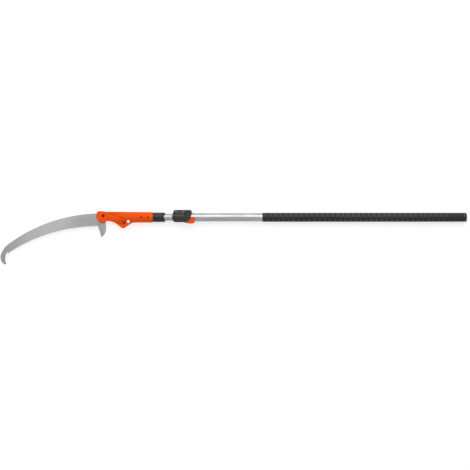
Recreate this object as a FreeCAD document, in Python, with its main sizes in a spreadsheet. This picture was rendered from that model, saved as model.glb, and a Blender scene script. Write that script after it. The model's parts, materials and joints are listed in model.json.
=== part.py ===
"""Telescoping pole saw: a curved saw blade in an orange holder, on two sliding
aluminium tubes that a flip lever clamps together.

The tool lies on its side. The pole runs along X with the butt at X = 0 and the
blade towards -X. The blade's plane is Z = 0, its cutting edge faces -Y, and +Z
is up, away from the floor. All sizes are millimetres.
"""
import FreeCAD, Part
import math
import os
import re

import Sketcher
from FreeCAD import Vector

# name: (value or formula of the names above it, what it is)
SIZES = {
    # pole
    "outer_od": (35.0, "outer tube, outside diameter"),
    "tube_wall": (1.5, "wall of both tubes"),
    "bush_wall": (1.5, "room between the tubes, where the bushes run"),
    "inner_od": ("outer_od - 2 * tube_wall - 2 * bush_wall", "inner tube, outside diameter"),
    "outer_end": (1160.0, "butt face to the mouth of the outer tube"),
    "inner_butt": (120.0, "butt face to the inner tube's lower end, pole closed"),
    "slide_gap": (0.06, "radial gap of a running fit between a bush and a tube"),
    "move_gap": (0.3, "gap between pieces that pass each other"),
    "lever_arm_wall": (2.0, "thickness of the lever's arms"),
    "ear_wall": (2.4, "thickness of the clamp's ears beside the lever"),
    # grip and cap
    "grip_wall": (0.6, "thickness of the grip sleeve"),
    "grip_end": (817.0, "butt face to the upper end of the grip"),
    "cap_length": (9.0, "end cap outside the tube"),
    "cap_plug": (22.0, "end cap's plug inside the tube"),
    "cap_round": (4.5, "rounding of the cap's rim"),
    "cap_wall": (2.5, "wall of the cap's plug"),
    # glide at the lower end of the inner tube
    "glide_length": (24.0, "plug of the glide inside the inner tube"),
    "glide_flange": (8.0, "flange of the glide behind the tube's end"),
    "ring_place": (34.0, "inner tube's end to the middle of the wear ring"),
    "ring_width": (14.0, "wear ring"),
    "ring_split": (2.0, "slanted split in the wear ring"),
    "glide_rivet_r": (1.6, "rivet through the glide"),
    # clamp housing at the mouth of the outer tube
    "clamp_right": ("outer_end - 60.5", "butt face to the near end of the clamp"),
    "clamp_left": ("outer_end + 18.6", "butt face to the far end of the clamp"),
    "clamp_top": ("outer_od / 2 + 11.9", "clamp above the pole's axis"),
    "clamp_bottom": ("outer_od / 2 + 2.3", "clamp below the pole's axis"),
    "clamp_half": ("outer_od / 2 + 2 * move_gap + lever_arm_wall + ear_wall", "half the clamp's width"),
    "clamp_round": (3.0, "rounding of the clamp's outer edges"),
    "bush_flange": (6.0, "flange of the mouth bush beyond the tube"),
    "bush_plug": (12.0, "mouth bush inside the outer tube"),
    "key_place": ("outer_end - 12", "butt face to the studs that key the shells to the tube"),
    "key_r": (3.0, "key stud radius"),
    "clamp_screw_r": (1.6, "clamp screw shank"),
    "clamp_screw_head_r": ("clamp_screw_r + 1.4", "clamp screw head"),
    "clamp_screw_head_h": (2.6, "clamp screw head height"),
    "clamp_screw_sink": (6.0, "depth of the screw recess"),
    "clamp_screw_y": ("outer_od / 2 + 5.9", "clamp screws above the pole's axis"),
    "clamp_screw_far": ("outer_end + 2", "butt face to the far clamp screw"),
    "clamp_screw_near": ("outer_end - 28", "butt face to the near clamp screw"),
    "clamp_nut_flats": ("2 * clamp_screw_r + 2.3", "clamp nut across flats"),
    "clamp_nut_h": (2.6, "clamp nut height"),
    # flip lever, its pin and the brake
    "pin_x": ("outer_end - 43", "butt face to the lever pin"),
    "pin_r": (2.0, "lever pin shank"),
    "pin_head_r": ("pin_r + 1.2", "lever pin head"),
    "pin_bore_r": ("0.6 * pin_r", "blind hole in the end of the lever pin"),
    "hub_r": ("pin_r + 0.9", "lever hub around the pin"),
    "cam_r": ("pin_r + 1", "cam on the lever's hub"),
    "pin_y": ("outer_od / 2 + cam_r - 0.9", "lever pin below the pole's axis"),
    "ear_r": ("pin_r + 2.6", "clamp's ears around the pin"),
    "lever_round": ("ear_r - 0.2", "rounding of the lever's arms around the pin"),
    "lever_drop": ("ear_r + 0.8", "lever's underside below the pin"),
    "pin_head_h": (0.9, "lever pin head height"),
    "pin_sink": (0.05, "lever pin head below the clamp's face"),
    "pin_bore_h": (3.0, "depth of that hole"),
    "pin_gap": (0.05, "radial gap of the pin in the lever"),
    "lever_end": ("pin_x - 30.4", "butt face to the tip of the lever"),
    "lever_top": (1.2, "lever's arms above the pole's axis"),
    "lever_web": (4.0, "thickness of the lever under the tube"),
    "cam_offset": (0.35, "cam centre above the pin with the lever shut"),
    "cam_half": (5.8, "half the cam's width"),
    "cam_gap": (0.1, "gap between cam and shoe with the lever shut"),
    "shoe_length": (29.0, "brake shoe along the pole"),
    "shoe_half": (6.0, "half the brake shoe's width"),
    "shoe_drop": (1.0, "room under the shoe in the clamp"),
    "pad_thick": (0.75, "friction pad under the shoe"),
    "window_gap": (0.5, "gap between the shoe and its window in the tube"),
    # collar and holder
    "collar_near": ("outer_end + 46.2", "butt face to the near end of the black collar"),
    "collar_far": ("outer_end + 94.6", "butt face to the far end of the black collar"),
    "collar_od": ("inner_od + 10", "collar, outside diameter"),
    "collar_scallop": (13.0, "half the width of the scallop in the collar's near edge"),
    "scallop_r": (20.0, "radius of the scallop"),
    "socket_near": ("collar_far + 0.8", "butt face to the socket's mouth"),
    "socket_deep": ("socket_near + 74.6", "butt face to the bottom of the socket's bore"),
    "socket_od": ("inner_od + 13", "socket, outside diameter"),
    "rivet_near": ("socket_near + 17.6", "butt face to the near socket rivet"),
    "rivet_far": ("socket_near + 45.6", "butt face to the far socket rivet"),
    "rivet_r": (2.0, "socket rivet shank"),
    "rivet_head_r": ("rivet_r + 1.6", "socket rivet head"),
    "rivet_head_h": (1.2, "socket rivet head height"),
    "rivet_proud": (0.4, "socket rivet head above the socket"),
    "neck_start": ("socket_near + 90.6", "butt face to where the socket begins to taper"),
    "head_x": ("socket_near + 198.1", "butt face to the head bolt"),
    "head_y": (5.7, "head bolt above the pole's axis"),
    "head_half": (11.5, "half the holder's thickness at the head"),
    "head_round": (4.0, "rounding of the head's edges"),
    "ear_half": (6.0, "half the thickness of the holder's lug"),
    "lug_x": ("socket_near + 115.2", "butt face to the lug screw"),
    "lug_y": (22.4, "lug screw below the pole's axis"),
    "hang_x": ("socket_near + 98", "butt face to the hanging hole"),
    "hang_y": (16.0, "hanging hole below the pole's axis"),
    "hang_r": (6.5, "hanging hole radius"),
    "hang_land": (3.0, "flat sunk around the hanging hole, beyond the hole"),
    "bolt_r": (3.0, "head bolt shank"),
    "bolt_head_r": ("bolt_r + 2.2", "head bolt head"),
    "bolt_head_h": (3.2, "head bolt head height"),
    "bolt_nut_flats": ("2 * bolt_r + 4", "head nut across flats"),
    "bolt_nut_h": (3.0, "head nut height"),
    "bolt_sink": (4.5, "depth of the head bolt's recesses"),
    "washer_h": (1.0, "head washer thickness"),
    "lug_screw_r": (2.0, "lug screw shank"),
    "lug_head_r": ("lug_screw_r + 1.5", "lug screw head"),
    "lug_head_h": (2.2, "lug screw head height"),
    "lug_nut_flats": ("2 * lug_screw_r + 3", "lug nut across flats"),
    "lug_nut_h": (2.2, "lug nut height"),
    "lug_sink": (2.6, "depth of the lug screw's recesses"),
    "recess_gap": (0.3, "gap around a head or nut in its recess"),
    "hex_depth": (1.6, "depth of the hexagon socket in a screw head"),
    "clamp_key": (2.5, "hexagon socket of the clamp screws, across flats"),
    "head_key": (5.0, "hexagon socket of the head bolt, across flats"),
    "lug_key": (3.0, "hexagon socket of the lug screw, across flats"),
    # blade
    "blade_thick": (1.5, "blade"),
    "blade_gap": (0.1, "gap between the blade and the holder, each side"),
    "slot_gap": (0.4, "gap around the blade's tang"),
    "back_r": (615.25, "radius of the blade's back"),
    "back_x": ("head_x + 10.7", "butt face to the centre of the back's arc"),
    "back_top": (15.4, "top of the blade's back above the pole's axis"),
    "edge_r": (646.25, "radius of the cutting edge, over the tooth points"),
    "edge_x": ("head_x + 22.7", "butt face to the centre of the edge's arc"),
    "edge_top": (37.0, "top of the cutting edge below the pole's axis"),
    "tooth_pitch": (5.0, "tooth pitch"),
    "tooth_depth": (3.4, "tooth depth"),
    "blade_reach": (411.5, "head bolt to the far side of the tip hook"),
    "tip_far": ("head_x + blade_reach", "butt face to the far side of the tip hook"),
    "first_tooth": ("head_x + 33.9", "butt face to the first tooth"),
    "last_tooth": ("tip_far - 31.2", "butt face to the last tooth"),
}

doc = FreeCAD.newDocument("PoleSaw")
sheet = doc.addObject("Spreadsheet::Sheet", "Sizes")
for row, (name, (number, note)) in enumerate(SIZES.items(), start=1):
    sheet.set(f"A{row}", note)
    sheet.set(f"B{row}", f"={number}" if isinstance(number, str) else str(number))
    sheet.setAlias(f"B{row}", name)
doc.recompute()

# Radii and places that several pieces share, as formulas of the sheet's names.
OUTER_R = "(outer_od / 2)"
OUTER_BORE = "(outer_od / 2 - tube_wall)"
INNER_R = "(inner_od / 2)"
INNER_BORE = "(inner_od / 2 - tube_wall)"
COLLAR_R = "(collar_od / 2)"
SOCKET_R = "(socket_od / 2)"
GRIP_R = "(outer_od / 2 + grip_wall)"
LEVER_IN = "(outer_od / 2 + move_gap)"
LEVER_OUT = "(outer_od / 2 + move_gap + lever_arm_wall)"
EAR_IN = "(outer_od / 2 + 2 * move_gap + lever_arm_wall)"
SHOE_FLOOR = "(pin_y - cam_r - cam_offset - cam_gap)"
INNER_TOP = "(socket_deep - 2)"
RIVET_TOP = "(socket_od / 2 - rivet_head_h + rivet_proud)"
# radius of the neck, which leaves the socket without a corner and ends at the head
NECK_END = "(head_x - 30)"
NECK_DROP = "(socket_od / 2 - head_half)"
NECK_SWEEP = f"((({NECK_END} - neck_start)^2 + {NECK_DROP}^2) / (2 * {NECK_DROP}))"
PIECES = []


def bound(formula):
    """The formula with each size's name pointing at its cell."""
    def cell(match):
        word = match.group()
        return "Sizes." + word if word in SIZES else word
    return re.sub(r"[A-Za-z_][A-Za-z_0-9]*", cell, str(formula))


def value(formula):
    return float(sheet.evalExpression(bound(formula)))


def new_piece(label):
    """An empty body whose label is the name of its node."""
    body = doc.addObject("PartDesign::Body", label)
    body.Label = label
    PIECES.append(body)
    return body


def new_sketch(body, height="0", plane="XY_Plane"):
    """A sketch on one of the body's own origin planes, raised along its normal."""
    sketch = body.newObject("Sketcher::SketchObject", body.Label + "_sketch")
    face = [f for f in body.Origin.OriginFeatures if f.Role == plane][0]
    sketch.AttachmentSupport = [(face, "")]
    sketch.MapMode = "FlatFace"
    sketch.setExpression(".AttachmentOffset.Base.z", bound(height))
    return sketch


def fix_point(sketch, edge, point, x, y):
    """Tie one point of an edge to two formulas."""
    for kind, formula in (("DistanceX", x), ("DistanceY", y)):
        number = value(formula)
        place = sketch.addConstraint(Sketcher.Constraint(kind, -1, 1, edge, point, number))
        sketch.setExpression(f"Constraints[{place}]", bound(formula))


def draw_circle(sketch, x, y, radius):
    centre = Vector(value(x), value(y), 0)
    edge = sketch.addGeometry(Part.Circle(centre, Vector(0, 0, 1), value(radius)))
    fix_point(sketch, edge, 3, x, y)
    place = sketch.addConstraint(Sketcher.Constraint("Radius", edge, value(radius)))
    sketch.setExpression(f"Constraints[{place}]", bound(radius))


def draw_outline(sketch, corners):
    """A closed outline. A corner is (x, y) or, where the edge that leaves it is an
    arc, (x, y, radius), with the centre on the left of the direction of travel for
    a positive radius and on its right for a negative one."""
    points = [Vector(value(c[0]), value(c[1]), 0) for c in corners]
    ends = []
    first = sketch.GeometryCount
    for index, corner in enumerate(corners):
        start = points[index]
        finish = points[(index + 1) % len(points)]
        if len(corner) == 2:
            sketch.addGeometry(Part.LineSegment(start, finish))
            ends.append((1, 2))
            continue
        radius = value(corner[2])
        chord = finish - start
        reach = math.sqrt(radius ** 2 - (chord.Length / 2) ** 2)
        left = Vector(-chord.y, chord.x, 0).normalize()
        centre = (start + finish) / 2 + left * math.copysign(reach, radius)
        from_start = math.atan2(start.y - centre.y, start.x - centre.x)
        from_finish = math.atan2(finish.y - centre.y, finish.x - centre.x)
        circle = Part.Circle(centre, Vector(0, 0, 1), abs(radius))
        if radius > 0:
            sketch.addGeometry(Part.ArcOfCircle(circle, from_start, from_finish))
            ends.append((1, 2))
        else:
            sketch.addGeometry(Part.ArcOfCircle(circle, from_finish, from_start))
            ends.append((2, 1))
    for index, corner in enumerate(corners):
        following = (index + 1) % len(corners)
        sketch.addConstraint(Sketcher.Constraint(
            "Coincident", first + index, ends[index][1], first + following, ends[following][0]))
        fix_point(sketch, first + index, ends[index][0], corner[0], corner[1])
        if len(corner) == 3:
            place = sketch.addConstraint(Sketcher.Constraint("Radius", first + index, abs(value(corner[2]))))
            sketch.setExpression(f"Constraints[{place}]", bound(f"abs({corner[2]})"))


def draw_hexagon(sketch, x, y, flats):
    """A hexagon with two corners above and below its centre."""
    corner = f"({flats}) / sqrt(3)"
    draw_outline(sketch, [(f"{x} + ({corner}) * cos({60 * k + 30})", f"{y} + ({corner}) * sin({60 * k + 30})")
                          for k in range(6)])


def draw_box(sketch, left, right, low, high):
    draw_outline(sketch, [(left, low), (right, low), (right, high), (left, high)])


def pad(body, low, high, draw, *shapes):
    """Material between two heights, over the shapes that draw puts in a sketch."""
    sketch = new_sketch(body, low)
    for shape in shapes:
        draw(sketch, *shape)
    feature = body.newObject("PartDesign::Pad", body.Label + "_pad")
    feature.Profile = sketch
    feature.setExpression("Length", bound(f"({high}) - ({low})"))
    doc.recompute()
    return feature


def cut(body, low, high, draw, *shapes):
    """Take away what lies between two heights, within the shapes."""
    sketch = new_sketch(body, high)
    for shape in shapes:
        draw(sketch, *shape)
    before = body.Shape.Volume
    feature = body.newObject("PartDesign::Pocket", body.Label + "_cut")
    feature.Profile = sketch
    feature.setExpression("Length", bound(f"({high}) - ({low})"))
    doc.recompute()
    if not body.Shape.Volume < before - 1e-6:
        raise ValueError(f"{body.Label}: a pocket cut nothing")
    return feature


def turn(body, corners, kind="Revolution", angle=360.0, flip=False):
    """Turn a profile (X along the pole, Y the radius) about the pole's axis."""
    sketch = new_sketch(body)
    draw_outline(sketch, corners)
    feature = body.newObject("PartDesign::" + kind, body.Label + "_turn")
    feature.Profile = sketch
    feature.ReferenceAxis = (sketch, ["H_Axis"])
    feature.Angle = angle
    feature.Reversed = flip
    doc.recompute()
    return feature


def ring(body, near, far, bore, radius, kind="Revolution", angle=360.0, flip=False):
    """A straight ring between two distances from the butt face."""
    corners = [(f"-({far})", bore), (f"-({near})", bore), (f"-({near})", radius), (f"-({far})", radius)]
    return turn(body, corners, kind, angle, flip)


def round_edges(body, radius, wanted):
    """Fillet the edges that the test picks out."""
    base = body.Tip
    names = [f"Edge{n}" for n, edge in enumerate(base.Shape.Edges, start=1) if wanted(edge)]
    feature = body.newObject("PartDesign::Fillet", body.Label + "_round")
    feature.Base = (base, names)
    feature.setExpression("Radius", bound(radius))
    doc.recompute()
    return feature


def on_height(height):
    """A test for edges that lie flat at one height."""
    level = value(height)
    return lambda edge: abs(edge.BoundBox.ZMin - level) < 1e-6 and abs(edge.BoundBox.ZMax - level) < 1e-6


def between(low, high, side):
    """The two heights for a piece's upper side, or their mirror image below Z = 0."""
    return (low, high) if side > 0 else (f"-({high})", f"-({low})")


def place(body, x, y):
    body.setExpression(".Placement.Base.x", bound(x))
    body.setExpression(".Placement.Base.y", bound(y))


# ---------------------------------------------------------------- pole
def make_outer_tube():
    body = new_piece("outer_tube")
    ring(body, "cap_length", "outer_end", OUTER_BORE, OUTER_R)
    # window in the underside, through which the brake shoe reaches the inner tube
    sketch = new_sketch(body, "outer_od", "XZ_Plane")
    reach = "(shoe_length / 2 + window_gap)"
    width = "(shoe_half + window_gap)"
    draw_box(sketch, f"-pin_x - {reach}", f"-pin_x + {reach}", f"-{width}", width)
    pocket = body.newObject("PartDesign::Pocket", "brake_window")
    pocket.Profile = sketch
    pocket.setExpression("Length", bound("outer_od"))
    cut(body, f"-{OUTER_R} - 1", f"{OUTER_R} + 1", draw_circle, ("-key_place", "0", "key_r"))


def make_grip():
    body = new_piece("grip_sleeve")
    ring(body, "cap_length", "grip_end", OUTER_R, GRIP_R)
    cap = new_piece("end_cap")
    turn(cap, [("-cap_length - cap_plug", f"{OUTER_BORE} - cap_wall"),
               ("-cap_length", f"{OUTER_BORE} - cap_wall"),
               ("-cap_length", "0"),
               ("0", "0"),
               ("0", f"{GRIP_R} - cap_round", "cap_round"),
               ("-cap_round", GRIP_R),
               ("-cap_length", GRIP_R),
               ("-cap_length", OUTER_BORE),
               ("-cap_length - cap_plug", OUTER_BORE)])


def make_inner_tube():
    body = new_piece("inner_tube")
    ring(body, "inner_butt", INNER_TOP, INNER_BORE, INNER_R)
    cut(body, "-inner_od", "inner_od", draw_circle,
        ("-rivet_near", "0", "rivet_r"), ("-rivet_far", "0", "rivet_r"))
    cut(body, "-inner_od", "inner_od", draw_circle, ("-inner_butt - glide_length / 2", "0", "glide_rivet_r"))


def make_glide():
    plug = new_piece("glide_plug")
    run = f"({OUTER_BORE} - slide_gap)"
    turn(plug, [("-inner_butt - glide_length", "0"), ("-inner_butt + glide_flange", "0"),
                ("-inner_butt + glide_flange", run), ("-inner_butt", run),
                ("-inner_butt", INNER_BORE), ("-inner_butt - glide_length", INNER_BORE)])
    cut(plug, "-inner_od", "inner_od", draw_circle, ("-inner_butt - glide_length / 2", "0", "glide_rivet_r"))
    wear = new_piece("glide_ring")
    ring(wear, "inner_butt + ring_place - ring_width / 2", "inner_butt + ring_place + ring_width / 2", INNER_R, run)
    # the ring is split, so that it snaps over the tube
    far, near = "-inner_butt - ring_place - ring_width", "-inner_butt - ring_place + ring_width"
    cut(wear, "0", "outer_od", draw_outline,
        [[(far, "-ring_split"), (near, "0"), (near, "ring_split"), (far, "0")]])
    rivet = new_piece("glide_rivet")
    pad(rivet, f"-{INNER_R}", INNER_R, draw_circle, ("0", "0", "glide_rivet_r"))
    place(rivet, "-inner_butt - glide_length / 2", "0")


# ---------------------------------------------------------------- clamp
def clamp_outline():
    """Side view of the clamp, from its top far corner clockwise as seen from +Z."""
    return [("-clamp_left + 13", "clamp_top"),
            ("-clamp_right - 7.5", "clamp_top", "-7.5"),
            ("-clamp_right", "clamp_top - 7.5"),
            ("-clamp_right", "clamp_top - 12.4"),
            ("-clamp_right - 3.5", "clamp_top - 14"),
            ("-clamp_right - 3.5", "1"),
            ("-pin_x + ear_r * cos(25)", "-pin_y + ear_r * sin(25)", "-ear_r"),
            ("-pin_x - ear_r * cos(60)", "-pin_y - ear_r * sin(60)"),
            ("-pin_x - 3 * ear_r", "-clamp_bottom"),
            ("-clamp_left + 13", "-clamp_bottom", "-11"),
            ("-clamp_left + 3.4", "-clamp_bottom + 8.5"),
            ("-clamp_left", "1"),
            ("-clamp_left + 6.2", "clamp_top - 6", "-7.5")]


def make_clamp_shell(label, side):
    """One half of the clamp: side is 1 for the upper half and -1 for the lower."""
    body = new_piece(label)
    pad(body, *between("0", "clamp_half", side), draw_outline, [clamp_outline()])
    outer = "clamp_half" if side > 0 else "-clamp_half"
    round_edges(body, "clamp_round", on_height(outer))
    ring(body, "clamp_right - 5", "outer_end + bush_flange", "0", OUTER_R, "Groove")
    ring(body, "outer_end", "clamp_left + 5", "0", f"{INNER_R} + move_gap", "Groove")
    both = ("-clamp_half", "clamp_half")
    # room for the lever's arms and hub
    cut(body, f"-{EAR_IN}", EAR_IN, draw_outline,
        [[("-pin_x - ear_r - 2", "-pin_y - ear_r - 1"), ("-clamp_right + 5", "-pin_y - ear_r - 1"),
          ("-clamp_right + 5", "lever_top + 2"), ("-pin_x - ear_r - 2", "lever_top + 2")]])
    # room under the tube for the brake shoe to drop
    cut(body, "-shoe_half - window_gap", "shoe_half + window_gap", draw_box,
        ("-pin_x - shoe_length / 2 - window_gap", "-pin_x", f"-{OUTER_R} - shoe_drop", "-shoe_half"))
    cut(body, *both, draw_circle, ("-pin_x", "-pin_y", "pin_r"))
    cut(body, *both, draw_circle,
        ("-clamp_screw_far", "clamp_screw_y", "clamp_screw_r"), ("-clamp_screw_near", "clamp_screw_y", "clamp_screw_r"))
    if side > 0:
        cut(body, "clamp_half - clamp_screw_sink", "clamp_half", draw_circle,
            ("-clamp_screw_far", "clamp_screw_y", "clamp_screw_head_r + recess_gap"),
            ("-clamp_screw_near", "clamp_screw_y", "clamp_screw_head_r + recess_gap"))
        cut(body, "clamp_half - pin_head_h", "clamp_half", draw_circle, ("-pin_x", "-pin_y", "pin_head_r"))
    else:
        cut(body, "-clamp_half", "-clamp_half + clamp_screw_sink", draw_hexagon,
            ("-clamp_screw_far", "clamp_screw_y", "clamp_nut_flats + recess_gap"),
            ("-clamp_screw_near", "clamp_screw_y", "clamp_nut_flats + recess_gap"))
        cut(body, "-clamp_half", "-clamp_half + pin_head_h", draw_circle, ("-pin_x", "-pin_y", "pin_head_r"))
    # the stud that keys this shell to the outer tube
    pad(body, *between(OUTER_BORE, f"{OUTER_R} + 1", side), draw_circle, ("-key_place", "0", "key_r"))


def make_clamp():
    make_clamp_shell("clamp_front_shell", 1)
    make_clamp_shell("clamp_back_shell", -1)
    bush = new_piece("mouth_bush")
    run = f"{INNER_R} + slide_gap"
    turn(bush, [("-outer_end - bush_flange", run), ("-outer_end + bush_plug", run),
                ("-outer_end + bush_plug", OUTER_BORE), ("-outer_end", OUTER_BORE),
                ("-outer_end", OUTER_R), ("-outer_end - bush_flange", OUTER_R)])


def make_screw(label, places, radius, head_r, head_h, seat, length, flats):
    """Socket-headed screws along Z: the head's underside is at seat, and the shank
    runs down from it."""
    body = new_piece(label)
    pad(body, f"({seat}) - ({length})", f"({seat}) + 0.5", draw_circle, *[(x, y, radius) for x, y in places])
    pad(body, seat, f"({seat}) + ({head_h})", draw_circle, *[(x, y, head_r) for x, y in places])
    cut(body, f"({seat}) + ({head_h}) - hex_depth", f"({seat}) + ({head_h})", draw_hexagon,
        *[(x, y, flats) for x, y in places])


def make_nut(label, places, radius, flats, seat, height):
    """Nuts along Z: the upper face is at seat."""
    body = new_piece(label)
    pad(body, f"({seat}) - ({height})", seat, draw_hexagon, *[(x, y, flats) for x, y in places])
    cut(body, f"({seat}) - ({height})", seat, draw_circle, *[(x, y, radius) for x, y in places])


def make_clamp_fasteners():
    places = [("-clamp_screw_far", "clamp_screw_y"), ("-clamp_screw_near", "clamp_screw_y")]
    seat = "(clamp_half - clamp_screw_sink)"
    make_screw("clamp_screws", places, "clamp_screw_r", "clamp_screw_head_r", "clamp_screw_head_h",
               seat, f"2 * {seat} + clamp_nut_h + 0.6", "clamp_key")
    make_nut("clamp_nuts", places, "clamp_screw_r", "clamp_nut_flats", f"-{seat}", "clamp_nut_h")


# ---------------------------------------------------------------- lever and brake
def make_lever():
    body = new_piece("lock_lever")
    pad(body, f"-{LEVER_OUT}", LEVER_OUT, draw_outline,
        [[("-pin_x", "-pin_y - lever_round"),
          ("-pin_x + 10", "-pin_y - lever_drop"),
          ("-lever_end - 12", "-pin_y - lever_drop", "12"),
          ("-lever_end", "-pin_y - lever_drop + 12"),
          ("-lever_end", "lever_top - 6", "6"),
          ("-lever_end - 6", "lever_top"),
          ("-pin_x + 8.5", "lever_top"),
          ("-pin_x - lever_round", "-pin_y", "lever_round")]])
    # the channel that straddles the outer tube
    cut(body, f"-{LEVER_IN}", LEVER_IN, draw_box,
        ("-pin_x - 6", "-lever_end + 1", "-pin_y - lever_drop + lever_web", "lever_top + 1"))
    # what would swing up into the tube behind the pin
    cut(body, f"-{LEVER_IN}", LEVER_IN, draw_box,
        ("-pin_x - 6", "-pin_x", "-pin_y - lever_drop - 1", "-pin_y + 1"))
    pad(body, f"-{LEVER_OUT}", LEVER_OUT, draw_circle, ("-pin_x", "-pin_y", "hub_r"))
    pad(body, "-cam_half", "cam_half", draw_circle, ("-pin_x", "-pin_y + cam_offset", "cam_r"))
    cut(body, f"-{LEVER_OUT} - 1", f"{LEVER_OUT} + 1", draw_circle, ("-pin_x", "-pin_y", "pin_r + pin_gap"))


def make_lever_pin():
    pin = new_piece("lever_pin")
    pad(pin, "-clamp_half + pin_head_h / 2", "clamp_half - pin_head_h / 2", draw_circle, ("0", "0", "pin_r"))
    pad(pin, "clamp_half - pin_head_h", "clamp_half - pin_sink", draw_circle, ("0", "0", "pin_head_r"))
    cut(pin, "clamp_half - pin_bore_h", "clamp_half", draw_circle, ("0", "0", "pin_bore_r"))
    place(pin, "-pin_x", "-pin_y")
    clip = new_piece("lever_pin_clip")
    pad(clip, "-clamp_half + pin_sink", "-clamp_half + pin_head_h", draw_circle, ("0", "0", "pin_head_r"))
    cut(clip, "-clamp_half", "-clamp_half + pin_head_h", draw_circle, ("0", "0", "pin_r"))
    place(clip, "-pin_x", "-pin_y")


def make_brake():
    """The shoe and its pad: segments under the inner tube, cut to length and width."""
    face = f"({INNER_R} + slide_gap)"
    back = f"({INNER_R} + slide_gap + pad_thick)"
    for label, low, high in (("brake_shoe", back, SHOE_FLOOR), ("brake_pad", face, back)):
        body = new_piece(label)
        sketch = new_sketch(body, "-pin_x - shoe_length / 2", "YZ_Plane")
        drop_low = f"-sqrt(({low})^2 - shoe_half^2)"
        if label == "brake_shoe":
            draw_outline(sketch, [(drop_low, "-shoe_half", f"-({low})"), (drop_low, "shoe_half"),
                                  (f"-({high})", "shoe_half"), (f"-({high})", "-shoe_half")])
        else:
            drop_high = f"-sqrt(({high})^2 - shoe_half^2)"
            draw_outline(sketch, [(drop_low, "-shoe_half", f"-({low})"), (drop_low, "shoe_half"),
                                  (drop_high, "shoe_half", high), (drop_high, "-shoe_half")])
        feature = body.newObject("PartDesign::Pad", label + "_pad")
        feature.Profile = sketch
        feature.setExpression("Length", bound("shoe_length"))
        doc.recompute()


# ---------------------------------------------------------------- collar and holder
def make_collar():
    body = new_piece("pole_collar")
    ring(body, "collar_near", "collar_far", INNER_R, COLLAR_R)
    # the near edge is shorter in front and behind than above and below
    cut(body, f"-{COLLAR_R} - 1", f"{COLLAR_R} + 1", draw_outline,
        [[("-collar_near + 1", "collar_scallop"), ("-collar_near + 1", "-collar_scallop"),
          ("-collar_near", "-collar_scallop", "-scallop_r"), ("-collar_near", "collar_scallop")]])


def holder_outline():
    """Side view of the whole holder left of the socket's mouth, counter-clockwise."""
    return [("-socket_near - 20", f"{SOCKET_R}"),
            ("-head_x + 8", f"{SOCKET_R} + 1.2"),
            ("-head_x - 2", "head_y + 18.7"),
            ("-head_x - 15", "head_y + 18.7", "10"),
            ("-head_x - 25.5", "head_y + 13", "60"),
            ("-head_x - 26", "head_y - 9", "44"),
            ("-head_x - 7.3", "head_y - 28.6", "14"),
            ("-head_x + 6.5", "head_y - 23.6", "-24"),
            ("-head_x + 20", "head_y - 20.8", "-62"),
            ("-lug_x - 22", "-lug_y - 10.6"),
            ("-lug_x - 12", "-lug_y - 17.6", "12.5"),
            ("-lug_x + 6.5", "-lug_y - 16.8"),
            ("-hang_x + 9", "-hang_y - 9.6", "-42"),
            ("-hang_x + 25", f"-{SOCKET_R}"),
            ("-socket_near - 20", f"-{SOCKET_R}")]


def body_outline():
    """Side view of the holder's thicker part: the same without the lug."""
    corners = holder_outline()
    return corners[:9] + [("-lug_x - 30", "-17"), ("-neck_start", "-17"), ("-socket_near - 20", "-17")]


# corner of the blade's tang, and the way out of the tang there
TANG = [("-back_x + 34", "back_top - 3.4", 0, 1),
        ("-lug_x - 29", "5", 0, 1),
        ("-lug_x - 1", "-8", 1, 1),
        ("-lug_x + 7.5", "-lug_y + 5", 1, 0),
        ("-lug_x + 6.5", "-lug_y - 6.5", 1, 0),
        ("-lug_x - 2", "-lug_y - 13", 0, -1),
        ("-lug_x - 14", "-lug_y - 11.6", 0, -1),
        ("-lug_x - 31", "-lug_y", 0, -1),
        ("-lug_x - 50", "-12.5", 0, -1),
        ("-back_x + 21.2", "-11", 0, -1)]


def slot_outline():
    """What the holder leaves open for the blade: its tang with a gap all round, and
    the way out for the blade and the claw."""
    gap = "slot_gap"
    tang = [(f"{x} + {dx} * {gap}", f"{y} + {dy} * {gap}") for x, y, dx, dy in TANG[:-1]]
    return ([("-back_x", f"back_top + {gap}")] + tang
            + [(f"-back_x + 21.2 + {gap}", f"-11 - {gap}"), (f"-back_x + 21.2 + {gap}", "-60"),
               ("-back_x - 40", "-60"), ("-back_x - 40", f"back_top + {gap}")])


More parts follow.
